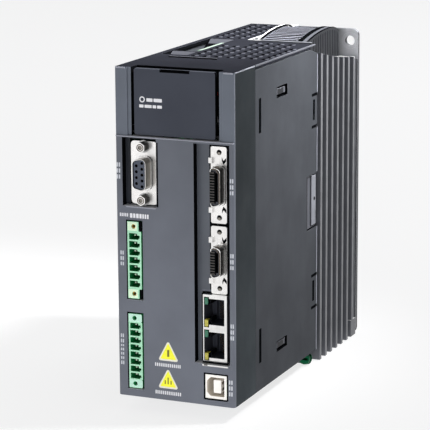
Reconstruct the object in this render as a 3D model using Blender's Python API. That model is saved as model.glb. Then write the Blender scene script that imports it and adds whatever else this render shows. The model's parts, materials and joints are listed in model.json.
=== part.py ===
"""Book-size servo drive for a control cabinet, modelled as the pieces that it comes apart into.

Lengths are in millimetres and become metres where a mesh is made. Shapes are laid out in the body's own
coordinates: x to the right from the left side, y back from the front panel, z up from the underside. The
model's origin is the middle of the wall plate's back face, so the drive hangs on a wall at y = 0.
"""

import math

import bmesh
import bpy
from mathutils import Matrix, Vector

MM = 0.001
GAP = 0.3
BODY_WIDTH = 60.0
BODY_HEIGHT = 157.5
DEPTH = 170.0
PLASTIC = 2.0
COVER_THICKNESS = 1.7
FRONT_WALL = 3.0
FRONT_DEPTH = 25.5
COVER_FRONT = FRONT_DEPTH + GAP
EDGE_RADIUS = 1.6
LEDGE_Z = 125.4
PILLAR_STEP = 1.0
EDGE_PLAY = 0.7

# Heat sink: a wall-side base, vertical fins that point right, and the wall plate behind them.
SINK_BOTTOM = -7.0
SINK_BASE_X = (24.2, 27.4)
SINK_FRONT_Y = (103.5, 106.0)
SINK_EDGE_TOP = 158.0
FIN_PITCH = 8.0
FIN_THICKNESS = 2.4
FIN_COUNT = 7
FIRST_FIN_Y = 114.0
FIN_BACK_Y = 167.2
ARC_FRONT = (97.0, 156.0)
ARC_BACK = (167.2, 143.0)
ARC_SAG = 1.9
PLATE_Y = (167.6, DEPTH)
PLATE_TOP = 157.2
MOUNT_HOLE = (55.6, 151.0)
MOUNT_SLOT = (5.0, -2.6)
MOUNT_HOLE_RADIUS = 2.6
SCREW_SEAT_RADIUS = 4.3
SCREW_SEAT_RISE = 0.4
PLATE_MIDDLE = (SINK_BOTTOM + PLATE_TOP) / 2
GROUND_SCREW_Z = -3.6

# Display door and keypad behind it. Pairs of one point are (y, z) for the hinge and (x, z) for the lamp.
DOOR_X = (9.4, 50.1)
DOOR_Y = (1.6, 4.2)
DOOR_Z = (126.1, 157.0)
DOOR_OPENING_X = (7.9, 52.1)
DOOR_OPENING_BACK = 8.4
HINGE_YZ = (2.9, 127.4)
HINGE_PIN_RADIUS = 0.55
HINGE_HOLE_RADIUS = 0.75
KEYPAD_Y = (7.0, 8.6)
KEY_RADIUS = 2.6
KEY_Z = 134.0
KEY_NAMES = ("key_mode", "key_shift", "key_up", "key_down", "key_set")
KEY_X = (13.2, 21.6, 30.0, 38.4, 46.8)
DISPLAY_X = (12.5, 43.5)
DISPLAY_Z = (141.5, 151.5)
CHARGE_LAMP = (47.6, 146.5)
CHARGE_LAMP_RADIUS = 1.6
HOOKS_Z = (140.8, 15.8)

# Front connectors.
LEFT_BAY_X = (3.6, 20.9)
LEFT_BAY_LOW = 92.3
RIGHT_BAY_X = (39.8, 57.6)
RIGHT_BAY_LOW = 20.1
RECESS_FLOOR = 4.0
FLOOR_THICKNESS = 1.5
FLANGE_Y = (2.9, 3.7)
ENCODER_MOUTH_Y = -3.1
ENCODER_X = 13.45
ENCODER_Z = 108.0
ENCODER_SCREW_SPACING = 25.0
RIBBON_MOUTH_Y = -2.6
RIBBON_FLANGE_X = (47.1, 55.1)
RIBBON_MOUTH_X = (49.0, 54.1)
COMMAND_Z = (86.9, 122.9)
FEEDBACK_Z = (53.4, 85.6)
NETWORK_X = (43.65, 56.2)
NETWORK_Z = (21.3, 53.2)
SOCKET_X = (46.5, 54.4)
SOCKET_HALF_HEIGHT = 6.2
SOCKET_CENTRES_Z = (45.05, 29.1)
LAMP_X = (44.4, 46.4)
LAMP_HALF_HEIGHT = 1.75
LINK_LAMPS_Z = (50.1, 34.4)
ACTIVITY_LAMPS_Z = (39.5, 23.5)
USB_X = (44.9, 55.9)
USB_Z = (3.3, 15.1)

# Pluggable terminal headers: on the front, in the top slot and in the bottom slot.
IO_HEADER_X = (5.8, 12.9)
IO_HEADER_Z = (48.0, 85.0)
IO_PITCH = 3.81
SAFETY_HEADER_X = (5.7, 12.8)
SAFETY_HEADER_Z = (4.3, 40.5)
SAFETY_PITCH = 3.5
HEADER_WALL = 1.4
HEADER_RIB = 0.85
POWER_SLOT_X = (3.2, 16.4)
POWER_SLOT_Y = (46.0, 106.0)
POWER_HEADER = ((4.6, 15.8), (61.6, 94.4), (143.0, 156.6))
POWER_SOCKET_FLOOR = 147.0
POWER_WALL_TOP = 152.0
MOTOR_SLOT_X = (4.3, 16.2)
MOTOR_SLOT_Y = (51.0, 92.0)
MOTOR_HEADER = ((4.7, 15.8), (51.4, 91.6), (0.6, 14.0))
MOTOR_SOCKET_ROOF = 10.0

# Vent holes, on a grid.
VENT_HALF_WIDTH = 2.2
VENT_HALF_LENGTH = 2.5
VENT_PITCH_X = 6.0
VENT_PITCH_Y = 7.2

# Cooling fan under its hood.
HOOD_X = (27.8, 54.8)
HOOD_Y = (106.4, 152.5)
HOOD_WALL = 1.2
HOOD_RAIL = 3.6
HOOD_RAIL_RISE = 0.9
HOOD_TOP = 161.3
HOOD_PEAK_Y = 138.0
FAN_CENTRE = (41.3, 133.0)
FAN_SIDE = 24.0
FAN_Z = (147.6, 157.6)
FAN_BORE_RADIUS = 11.2

ORIGIN = Vector((BODY_WIDTH / 2, DEPTH, PLATE_MIDDLE))


# ---------------------------------------------------------------- shapes


def new_shape():
    return bmesh.new()


def add_box(shape, x, y, z):
    """A box between two corners, each range given as (low, high)."""
    low = Vector((x[0], y[0], z[0]))
    high = Vector((x[1], y[1], z[1]))
    size = Matrix.Diagonal(high - low).to_4x4()
    bmesh.ops.create_cube(shape, size=1.0, matrix=Matrix.Translation((low + high) / 2) @ size)


def box(x, y, z):
    shape = new_shape()
    add_box(shape, x, y, z)
    return shape


def in_space(axis, along, first, second):
    """A point from its place along an axis and its two other coordinates, in x, y, z order."""
    if axis == "x":
        return Vector((along, first, second))
    if axis == "y":
        return Vector((first, along, second))
    return Vector((first, second, along))


def add_prism(shape, outline, axis, low, high):
    """Extrudes a closed outline, drawn across an axis, from low to high along it."""
    corners = [shape.verts.new(in_space(axis, low, a, b)) for a, b in outline]
    base = shape.faces.new(corners)
    grown = bmesh.ops.extrude_face_region(shape, geom=[base])["geom"]
    moved = [part for part in grown if isinstance(part, bmesh.types.BMVert)]
    bmesh.ops.translate(shape, verts=moved, vec=in_space(axis, high - low, 0.0, 0.0))
    bmesh.ops.recalc_face_normals(shape, faces=shape.faces[:])


def prism(outline, axis, low, high):
    shape = new_shape()
    add_prism(shape, outline, axis, low, high)
    return shape


def on_circle(centre, radius, angle):
    return centre[0] + radius * math.cos(angle), centre[1] + radius * math.sin(angle)


def circle(centre, radius, sides, start=0.0):
    """Corner points of a regular polygon whose corners lie on a circle."""
    return [on_circle(centre, radius, start + 2 * math.pi * k / sides) for k in range(sides)]


def rounded_rectangle(first, second, radius, steps=3):
    """A rectangle's outline with round corners."""
    outline = []
    quarter = math.pi / 2
    centres = [
        (first[1] - radius, second[1] - radius),
        (first[0] + radius, second[1] - radius),
        (first[0] + radius, second[0] + radius),
        (first[1] - radius, second[0] + radius),
    ]
    for corner, centre in enumerate(centres):
        for k in range(steps + 1):
            outline.append(on_circle(centre, radius, quarter * (corner + k / steps)))
    return outline


def shell_outline(centre, width, height, slant, radius=1.2, steps=2):
    """A D-shaped connector outline: upright, wider on the right, with its two left corners pulled in."""
    left, right = centre[0] - width / 2, centre[0] + width / 2
    low, high = centre[1] - height / 2, centre[1] + height / 2
    corners = [
        Vector((right, high)),
        Vector((left, high - slant)),
        Vector((left, low + slant)),
        Vector((right, low)),
    ]
    outline = []
    for k, corner in enumerate(corners):
        before = (corners[k - 1] - corner).normalized()
        after = (corners[(k + 1) % 4] - corner).normalized()
        half = before.angle(after) / 2
        reach = radius / math.tan(half)
        middle = corner + (before + after).normalized() * (radius / math.sin(half))
        start, end = corner + before * reach - middle, corner + after * reach - middle
        for step in range(steps + 1):
            share = step / steps
            outline.append(tuple(middle + start.lerp(end, share).normalized() * radius))
    return outline


def arc_height(y):
    """Height of the fins' concave top line at a depth y."""
    span = ARC_BACK[0] - ARC_FRONT[0]
    share = (y - ARC_FRONT[0]) / span
    straight = ARC_FRONT[1] + (ARC_BACK[1] - ARC_FRONT[1]) * share
    return straight - 4 * ARC_SAG * share * (1 - share)


def hood_height(y, drop=0.0):
    """Height of the fan hood's arched top line at a depth y, less a drop."""
    if y <= HOOD_PEAK_Y:
        fall = 3.6 * ((HOOD_PEAK_Y - y) / (HOOD_PEAK_Y - HOOD_Y[0])) ** 2
    else:
        fall = 3.4 * ((y - HOOD_PEAK_Y) / (HOOD_Y[1] - HOOD_PEAK_Y)) ** 3
    return HOOD_TOP - fall - drop


# ---------------------------------------------------------------- materials and objects


def material(name, colour, roughness, metallic=0.0):
    made = bpy.data.materials.new(name)
    made.use_nodes = True
    shader = made.node_tree.nodes["Principled BSDF"]
    shader.inputs["Base Color"].default_value = (*colour, 1.0)
    shader.inputs["Roughness"].default_value = roughness
    shader.inputs["Metallic"].default_value = metallic
    return made


FINISHES = {
    "shell_grey": ((0.115, 0.125, 0.155), 0.5, 0.0),
    "door_grey": ((0.07, 0.072, 0.09), 0.45, 0.0),
    "cover_grey": ((0.10, 0.10, 0.105), 0.5, 0.0),
    "black_plastic": ((0.02, 0.02, 0.022), 0.5, 0.0),
    "fin_aluminium": ((0.16, 0.16, 0.17), 0.45, 1.0),
    "plate_aluminium": ((0.6, 0.6, 0.62), 0.4, 1.0),
    "nickel": ((0.75, 0.73, 0.7), 0.3, 1.0),
    "steel": ((0.55, 0.55, 0.55), 0.35, 1.0),
    "mint_plastic": ((0.40, 0.72, 0.48), 0.45, 0.0),
    "insert_blue": ((0.07, 0.08, 0.12), 0.5, 0.0),
    "led_green": ((0.03, 0.3, 0.15), 0.3, 0.0),
    "led_yellow": ((0.5, 0.45, 0.05), 0.3, 0.0),
    "lamp_red": ((0.5, 0.03, 0.02), 0.3, 0.0),
    "usb_white": ((0.85, 0.82, 0.76), 0.4, 0.0),
    "key_grey": ((0.45, 0.46, 0.48), 0.5, 0.0),
    "board_green": ((0.02, 0.13, 0.06), 0.45, 0.0),
    "capacitor_sleeve": ((0.03, 0.03, 0.05), 0.4, 0.0),
    "winding_tape": ((0.7, 0.55, 0.1), 0.5, 0.0),
    "ferrite": ((0.06, 0.06, 0.065), 0.6, 0.0),
    "screw_green": ((0.01, 0.28, 0.12), 0.3, 0.0),
    "window_red": ((0.08, 0.01, 0.01), 0.15, 0.0),
}


def solid(name, shape, finish, smooth=False, pivot=None):
    """Turns a shape into an object of its own, with its origin at the pivot, or at the model's origin."""
    place = (Vector(pivot) - ORIGIN) * MM if pivot else Vector((0.0, 0.0, 0.0))
    bmesh.ops.recalc_face_normals(shape, faces=shape.faces[:])
    for corner in shape.verts:
        corner.co = (corner.co - ORIGIN) * MM - place
    mesh = bpy.data.meshes.new(name)
    shape.to_mesh(mesh)
    shape.free()
    if smooth:
        mesh.shade_smooth()
        mesh.set_sharp_from_angle(angle=math.radians(35))
    obj = bpy.data.objects.new(name, mesh)
    obj.location = place
    bpy.context.scene.collection.objects.link(obj)
    if finish:
        mesh.materials.append(material(name, *FINISHES[finish]))
    return obj


def boolean(obj, shape, operation):
    """Cuts a shape from an object, or joins it on, with a hidden tool body."""
    tool = solid(f"{obj.name}_tool_{len(obj.modifiers)}", shape, None)
    tool.hide_render = True
    tool.display_type = "WIRE"
    step = obj.modifiers.new(f"{operation.lower()}_{len(obj.modifiers)}", "BOOLEAN")
    step.operation = operation
    step.object = tool
    return obj


def cut(obj, shape):
    return boolean(obj, shape, "DIFFERENCE")


def join(obj, shape):
    return boolean(obj, shape, "UNION")


# ---------------------------------------------------------------- housing


def front_shell():
    """Deep front frame: lower panel, a set-back door bay between two pillars, and recessed connector bays."""
    outline = [(0.0, FRONT_DEPTH), (BODY_WIDTH, FRONT_DEPTH)]
    for k in range(4):
        angle = math.pi / 2 * k / 3
        across, back = EDGE_RADIUS * (1 - math.cos(angle)), EDGE_RADIUS * (1 - math.sin(angle))
        outline.append((BODY_WIDTH - across, back))
    for k in range(4):
        angle = math.pi / 2 * k / 3
        across, back = EDGE_RADIUS * (1 - math.sin(angle)), EDGE_RADIUS * (1 - math.cos(angle))
        outline.append((across, back))
    shell = solid("front_shell", prism(outline, "z", 0.0, BODY_HEIGHT), "shell_grey")
    inside_x = (PLASTIC, BODY_WIDTH - PLASTIC)
    cut(shell, box(inside_x, (FRONT_WALL, FRONT_DEPTH + 1), (PLASTIC, BODY_HEIGHT - PLASTIC)))

    bays = new_shape()
    back = (FRONT_WALL - 0.5, RECESS_FLOOR + FLOOR_THICKNESS)
    add_box(bays, (1.0, LEFT_BAY_X[1] + 1.5), back, (LEFT_BAY_LOW - 1.5, LEDGE_Z))
    add_box(bays, (RIGHT_BAY_X[0] - 1.5, 59.0), back, (RIGHT_BAY_LOW - 1.5, LEDGE_Z))
    for x in ((5.6, DOOR_OPENING_X[0]), (DOOR_OPENING_X[1], 54.4)):
        add_box(bays, x, back, (LEDGE_Z + 0.4, 130.0))
    join(shell, bays)

    bay_cuts = new_shape()
    add_box(bay_cuts, LEFT_BAY_X, (-1.0, RECESS_FLOOR), (LEFT_BAY_LOW, LEDGE_Z - 0.6))
    add_box(bay_cuts, RIGHT_BAY_X, (-1.0, RECESS_FLOOR), (RIGHT_BAY_LOW, LEDGE_Z - 1.2))
    cut(shell, bay_cuts)

    door_bay = new_shape()
    add_box(door_bay, (-1.0, 61.0), (-1.0, PILLAR_STEP), (LEDGE_Z, BODY_HEIGHT + 1))
    cut(shell, door_bay)
    cut(shell, box((6.1, 53.9), (-1.0, PILLAR_STEP + 0.6), (LEDGE_Z, BODY_HEIGHT + 1)))
    cut(shell, box(DOOR_OPENING_X, (-2.0, DOOR_OPENING_BACK), (LEDGE_Z, BODY_HEIGHT + 2)))

    openings = new_shape()
    through = (-3.0, 8.0)
    for x, z in ((IO_HEADER_X, IO_HEADER_Z), (SAFETY_HEADER_X, SAFETY_HEADER_Z), (USB_X, USB_Z)):
        add_box(openings, (x[0] - EDGE_PLAY, x[1] + EDGE_PLAY), through, (z[0] - EDGE_PLAY, z[1] + EDGE_PLAY))
    add_box(openings, (5.9, LEFT_BAY_X[1] - 0.2), through, (LEFT_BAY_LOW + 0.2, 123.7))
    ribbon_x = (RIBBON_FLANGE_X[0] - EDGE_PLAY, RIGHT_BAY_X[1] - 0.9)
    add_box(openings, ribbon_x, through, (FEEDBACK_Z[0] + 1.0, COMMAND_Z[1] + EDGE_PLAY))
    add_prism(openings, circle(HINGE_YZ, HINGE_PIN_RADIUS + 0.2, 10), "x", 6.2, 53.8)
    cut(shell, openings)
    network_x = (NETWORK_X[0] - EDGE_PLAY, NETWORK_X[1] + EDGE_PLAY)
    cut(shell, box(network_x, through, (RIGHT_BAY_LOW + 0.3, NETWORK_Z[1] + 1.5)))
    return shell


def side_cover(name, low_x, right):
    """Flat side cover with its slots; the right one also has catch windows, edge tabs and an ear bay."""
    high_x = low_x + PLASTIC
    through = (low_x - 1, high_x + 1)
    rear = 107.4 if right else FIN_BACK_Y
    top = BODY_HEIGHT - COVER_THICKNESS - GAP
    outline = [(COVER_FRONT, top), (COVER_FRONT, 0.0), (rear, 0.0)]
    outline += [(rear, 152.6), (97.0, top)] if right else [(rear, top)]
    cover = solid(name, prism(outline, "x", low_x, high_x), "cover_grey")
    holes = new_shape()
    for z in ((125.0, 141.4), (13.6, 30.4)):
        add_box(holes, through, (30.6, 32.6), z)
    for z in ((120.0, 129.7), (27.2, 37.2)):
        add_box(holes, through, (102.2, 104.0), z)
    if right:
        for z in (132.4, 116.4, 40.2, 23.6):
            add_box(holes, through, (100.0, rear + 1), (z - 0.5, z + 0.5))
        for z in ((138.2, 143.4), (13.2, 18.4)):
            add_box(holes, through, (52.8, 66.4), z)
    cut(cover, holes)
    if right:
        cut(cover, box((high_x - 1.2, high_x + 1), (93.8, rear + 2), (65.0, 92.3)))
        cut(cover, box(through, (101.0, rear + 2), (66.0, 91.6)))
    return cover


def vent_holes(shape, x_centres, y_centres, low, high):
    """Long hexagonal vent holes on a grid."""
    for x in x_centres:
        for y in y_centres:
            hexagon = circle((0.0, 0.0), 1.0, 6, math.pi / 6)
            outline = [(x + VENT_HALF_WIDTH * a, y + VENT_HALF_LENGTH * b) for a, b in hexagon]
            add_prism(shape, outline, "z", low, high)


def top_vent_cover():
    """L-shaped perforated top with a slot for the power plug and a ramp at each end of it."""
    top = BODY_HEIGHT
    low = top - COVER_THICKNESS
    edge = SINK_BASE_X[0] - GAP
    front = SINK_FRONT_Y[0] - GAP
    outline = [(0.0, COVER_FRONT), (BODY_WIDTH, COVER_FRONT), (BODY_WIDTH, 97.0), (57.6, front)]
    outline += [(edge, front), (edge, FIN_BACK_Y), (0.0, FIN_BACK_Y)]
    cover = solid("top_vent_cover", prism(outline, "z", low, top), "cover_grey")
    cut(cover, box(POWER_SLOT_X, POWER_SLOT_Y, (low - 1, top + 1)))
    ramps = new_shape()
    wide = (POWER_SLOT_X[0] - 0.6, POWER_SLOT_X[1] + 0.6)
    for rise, crest in ((50.0, 59.0), (96.5, 105.0)):
        end = crest + 1.4
        profile = [(rise, 150.0), (end, 150.0), (end, top - 0.3), (crest, top - 0.3), (rise, 152.4)]
        add_prism(ramps, profile, "x", *wide)
    add_box(ramps, (11.0, 36.0), (36.8, 38.0), (top - 0.8, top + 0.6))
    join(cover, ramps)
    holes = new_shape()
    columns = [20.5 + VENT_PITCH_X * k for k in range(7)]
    rows = [46.5 + VENT_PITCH_Y * k for k in range(8)]
    vent_holes(holes, columns, rows[:6], low - 1, top + 1)
    vent_holes(holes, columns[2:6], rows[6:], low - 1, top + 1)
    rear_columns = [5.0 + VENT_PITCH_X * k for k in range(3)]
    rear_rows = [112.0 + VENT_PITCH_Y * k for k in range(8)]
    vent_holes(holes, rear_columns, rear_rows, low - 1, top + 1)
    cut(cover, holes)
    return cover


def bottom_cover():
    """Perforated underside with the motor plug's slot."""
    edge = SINK_BASE_X[0] - GAP
    front = SINK_FRONT_Y[0] - GAP
    left, right = PLASTIC + GAP, BODY_WIDTH - PLASTIC - GAP
    outline = [(left, COVER_FRONT), (right, COVER_FRONT), (right, front), (edge, front)]
    outline += [(edge, FIN_BACK_Y), (left, FIN_BACK_Y)]
    cover = solid("bottom_cover", prism(outline, "z", 0.0, COVER_THICKNESS), "cover_grey")
    holes = new_shape()
    add_box(holes, MOTOR_SLOT_X, MOTOR_SLOT_Y, (-1.0, COVER_THICKNESS + 1))
    columns = [26.5 + VENT_PITCH_X * k for k in range(5)]
    rows = [40.0 + VENT_PITCH_Y * k for k in range(8)]
    vent_holes(holes, columns, rows, -1.0, COVER_THICKNESS + 1)
    cut(cover, holes)
    return cover


def inner_frame():
    """Board carrier behind the right cover, with two hooks that snap into the cover's windows."""
    frame = solid("inner_frame", box((51.2, 53.2), (53.0, 101.0), (8.0, 150.0)), "black_plastic")
    cut(frame, box((50.0, 54.0), (58.0, 96.0), (24.0, 132.0)))
    hooks = new_shape()
    for z in HOOKS_Z:
        add_box(hooks, (52.4, 59.4), (55.2, 63.0), (z - 1.3, z + 1.3))
    join(frame, hooks)
    return frame


# ---------------------------------------------------------------- door and keypad


def display_door():
    """Flip-down door over the keypad, hinged on a pin along its lower edge, with a finger notch on top."""
    outline = rounded_rectangle(DOOR_X, DOOR_Z, 0.6, 1)
    pivot = (BODY_WIDTH / 2, *HINGE_YZ)
    door = solid("display_door", prism(outline, "y", *DOOR_Y), "door_grey", pivot=pivot)
    notch = new_shape()
    add_box(notch, (22.4, 37.4), (DOOR_Y[0] - 1, DOOR_Y[0] + 1.4), (DOOR_Z[1] - 1.3, DOOR_Z[1] + 1))
    cut(door, notch)
    cut(door, prism(circle(HINGE_YZ, HINGE_HOLE_RADIUS, 12), "x", DOOR_X[0] - 1, DOOR_X[1] + 1))
    return door


def hinge_pin():
    shape = prism(circle(HINGE_YZ, HINGE_PIN_RADIUS, 12), "x", 6.5, 53.5)
    return solid("door_hinge_pin", shape, "steel", smooth=True)


def keypad_panel():
    """Panel behind the door, with the display's window, five key holes and a lamp hole."""
    panel = solid("keypad_panel", box((8.4, 51.6), (KEYPAD_Y[0], 12.4), (126.4, 155.1)), "black_plastic")
    cut(panel, box((9.8, 50.2), (KEYPAD_Y[1], 14.0), (127.8, 153.7)))
    holes = new_shape()
    add_box(holes, DISPLAY_X, (5.0, 11.0), DISPLAY_Z)
    for x in KEY_X:
        add_prism(holes, circle((x, KEY_Z), KEY_RADIUS + GAP, 16), "y", 5.0, 11.0)
    add_prism(holes, circle(CHARGE_LAMP, CHARGE_LAMP_RADIUS + GAP, 12), "y", 5.0, 11.0)
    cut(panel, holes)
    return panel


def display_parts():
    inset = (DISPLAY_X[0] + GAP, DISPLAY_X[1] - GAP), (DISPLAY_Z[0] + GAP, DISPLAY_Z[1] - GAP)
    solid("display_module", box(inset[0], (7.2, 12.2), inset[1]), "window_red")
    solid("display_board", box((9.0, 51.0), (12.8, 14.0), (127.0, 154.5)), "board_green")
    lamp = prism(circle(CHARGE_LAMP, CHARGE_LAMP_RADIUS, 12), "y", 6.4, 12.4)
    solid("charge_lamp", lamp, "lamp_red", smooth=True)


def keys():
    """Five round keys, each with a collar that holds it behind the panel."""
    for name, x in zip(KEY_NAMES, KEY_X):
        pivot = (x, KEYPAD_Y[0], KEY_Z)
        cap = prism(circle((x, KEY_Z), KEY_RADIUS, 16), "y", 5.6, 9.6)
        key = solid(name, cap, "key_grey", smooth=True, pivot=pivot)
        join(key, prism(circle((x, KEY_Z), KEY_RADIUS + 0.8, 16), "y", KEYPAD_Y[1] + 0.2, 9.9))


# ---------------------------------------------------------------- connectors


def encoder_port():
    """Nine-way D-sub: nickel shell with its flange, moulded insert, and two threaded hexagon posts."""
    half_width, half_height = 6.7, 15.0
    across = (ENCODER_X - half_width, ENCODER_X + half_width)
    outline = rounded_rectangle(across, (ENCODER_Z - half_height, ENCODER_Z + half_height), 1.8)
    shell = solid("encoder_port_shell", prism(outline, "y", *FLANGE_Y), "nickel")
    centre = (ENCODER_X, ENCODER_Z)
    base_ring = shell_outline(centre, 8.6, 17.4, 1.4, 2.9, 4)
    join(shell, prism(base_ring, "y", FLANGE_Y[0] - 0.9, FLANGE_Y[0] + 0.4))
    mouth = shell_outline(centre, 7.0, 15.9, 1.3, 2.4, 4)
    join(shell, prism(mouth, "y", ENCODER_MOUTH_Y, FLANGE_Y[0] + 0.3))
    hollow = shell_outline(centre, 6.3, 15.2, 1.25, 2.05, 4)
    cut(shell, prism(hollow, "y", ENCODER_MOUTH_Y - 1, FLANGE_Y[1] + 1))
    for offset in (-ENCODER_SCREW_SPACING / 2, ENCODER_SCREW_SPACING / 2):
        hole = circle((ENCODER_X, ENCODER_Z + offset), 1.6, 12)
        cut(shell, prism(hole, "y", FLANGE_Y[0] - 1, FLANGE_Y[1] + 1))

    insert = prism(shell_outline(centre, 5.7, 14.6, 1.2, 1.75, 4), "y", ENCODER_MOUTH_Y + 0.5, 12.0)
    insert = solid("encoder_port_insert", insert, "insert_blue")
    sockets = new_shape()
    for x, count in ((ENCODER_X - 1.42, 4), (ENCODER_X + 1.42, 5)):
        for k in range(count):
            z = ENCODER_Z + 2.77 * (k - (count - 1) / 2)
            add_prism(sockets, circle((x, z), 0.75, 8), "y", ENCODER_MOUTH_Y - 1, 4.0)
    cut(insert, sockets)

    for name, side in (("encoder_post_upper", 1), ("encoder_post_lower", -1)):
        place = (ENCODER_X, ENCODER_Z + side * ENCODER_SCREW_SPACING / 2)
        post = solid(name, prism(circle(place, 2.5, 6, math.pi / 6), "y", -1.4, FLANGE_Y[0] - GAP), "nickel")
        join(post, prism(circle(place, 1.3, 10), "y", 2.0, FLANGE_Y[1]))
        cut(post, prism(circle(place, 1.1, 10), "y", -2.0, 1.8))


def header(name, x, z, flange, notch, pitch, count):
    """Pluggable terminal header: cells in a row between two screw flanges, each a notch narrower."""
    row = (z[0] + flange, z[1] - flange)
    outline = [
        (x[0], z[0]),
        (x[1] - notch, z[0]),
        (x[1] - notch, row[0]),
        (x[1], row[0]),
        (x[1], row[1]),
        (x[1] - notch, row[1]),
        (x[1] - notch, z[1]),
        (x[0], z[1]),
    ]
    body = solid(name, prism(outline, "y", -0.2, 12.0), "mint_plastic")
    middle = (z[0] + z[1]) / 2
    half = (pitch - HEADER_RIB) / 2
    cells = new_shape()
    for k in range(count):
        centre = middle + pitch * (k - (count - 1) / 2)
        add_box(cells, (x[0] + 0.9, x[1] - 0.8), (-1.0, 8.0), (centre - half, centre + half))
    for end in (z[0] + flange / 2, z[1] - flange / 2):
        add_prism(cells, circle((x[0] + 3.2, end), 1.1, 10), "y", -1.0, 8.0)
    cut(body, cells)
    return body


def ribbon_port(prefix, z):
    """Half-pitch ribbon connector: nickel flange and mouth, and a moulded insert with its slot."""
    low, high = z
    outline = rounded_rectangle(RIBBON_FLANGE_X, z, 0.6, 1)
    shell = solid(f"{prefix}_port_shell", prism(outline, "y", *FLANGE_Y), "nickel")
    centre = (sum(RIBBON_MOUTH_X) / 2, (low + high) / 2)
    width = RIBBON_MOUTH_X[1] - RIBBON_MOUTH_X[0]
    short_side = high - low - 19.4
    slant = -1.6

    def mouth(inset):
        return shell_outline(centre, width - 2 * inset, short_side - 2 * inset, slant, 1.7 - inset, 3)

    join(shell, prism(mouth(-0.6), "y", FLANGE_Y[0] - 0.9, FLANGE_Y[0] + 0.4))
    join(shell, prism(mouth(0.0), "y", RIBBON_MOUTH_Y, FLANGE_Y[0] + 0.3))
    clips = new_shape()
    for end in (low + 6.4, high - 6.4):
        add_box(clips, (46.6, 48.4), (FLANGE_Y[0] - 1.5, FLANGE_Y[1] - 0.1), (end - 1.3, end + 1.3))
    join(shell, clips)
    cut(shell, prism(mouth(0.45), "y", RIBBON_MOUTH_Y - 1, FLANGE_Y[1] + 1))
    holes = new_shape()
    for end in (low + 2.7, high - 2.7):
        add_prism(holes, circle((51.35, end), 1.25, 10), "y", FLANGE_Y[0] - 1, FLANGE_Y[1] + 1)
    cut(shell, holes)
    moulding = prism(mouth(0.75), "y", RIBBON_MOUTH_Y + 0.6, 14.0)
    insert = solid(f"{prefix}_port_insert", moulding, "black_plastic")
    half = short_side / 2 - 1.6
    cut(insert, box((50.6, 52.7), (RIBBON_MOUTH_Y - 1, 6.0), (centre[1] - half, centre[1] + half)))


def network_port():
    """Two stacked eight-way network sockets in one screened block, with four indicator lamps."""
    block = solid("network_port_block", box(NETWORK_X, (0.8, 20.0), NETWORK_Z), "nickel")
    play = 0.2
    pocket_x = (LAMP_X[0] - play, SOCKET_X[0] + play)
    reach = LAMP_HALF_HEIGHT + play
    sockets = new_shape()
    latches = new_shape()
    pockets = new_shape()
    for centre, link, activity in zip(SOCKET_CENTRES_Z, LINK_LAMPS_Z, ACTIVITY_LAMPS_Z):
        add_box(sockets, SOCKET_X, (-1.0, 13.0), (centre - SOCKET_HALF_HEIGHT, centre + SOCKET_HALF_HEIGHT))
        add_box(latches, (pocket_x[0], pocket_x[1] + 0.1), (-1.0, 11.0), (activity + 1.0, link - 1.0))
        for lamp in (link, activity):
            add_box(pockets, pocket_x, (-1.5, 4.0), (lamp - reach, lamp + reach))
    cut(block, sockets)
    cut(block, latches)
    cut(block, pockets)
    lamps = {"link": (LINK_LAMPS_Z, "led_green"), "activity": (ACTIVITY_LAMPS_Z, "led_yellow")}
    for name, (heights, finish) in lamps.items():
        for level, lamp in zip(("upper", "lower"), heights):
            lens = box(LAMP_X, (0.5, 3.8), (lamp - LAMP_HALF_HEIGHT, lamp + LAMP_HALF_HEIGHT))
            solid(f"{name}_lamp_{level}", lens, finish)


def usb_port():
    """Square type B service socket with its centre tongue."""
    shell = solid("usb_port_shell", box(USB_X, (0.2, 14.0), USB_Z), "usb_white")
    opening = [(47.6, 4.7), (54.4, 4.7), (54.4, 13.7), (47.6, 13.7), (45.8, 11.9), (45.8, 6.5)]
    cut(shell, prism(opening, "y", -1.0, 11.0))
    solid("usb_port_tongue", box((48.8, 52.6), (0.8, 10.7), (6.1, 12.4)), "usb_white")


def power_headers():
    """Mains header in the top slot and motor header in the bottom slot."""
    for name, (x, y, z), socket_z in (
        ("power_input_header", POWER_HEADER, (POWER_SOCKET_FLOOR, BODY_HEIGHT)),
        ("motor_output_header", MOTOR_HEADER, (-1.0, MOTOR_SOCKET_ROOF)),
    ):
        body = solid(name, box(x, y, z), "mint_plastic")
        socket_x = (x[0] + HEADER_WALL, x[1] - HEADER_WALL - 0.5)
        cut(body, box(socket_x, (y[0] + HEADER_WALL, y[1] - HEADER_WALL), socket_z))
        if name == "power_input_header":
            cut(body, box((x[0] - 1, socket_x[1]), (y[0] - 1, y[1] + 1), (POWER_WALL_TOP, BODY_HEIGHT)))


# ---------------------------------------------------------------- heat sink, wall plate and fan


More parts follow.
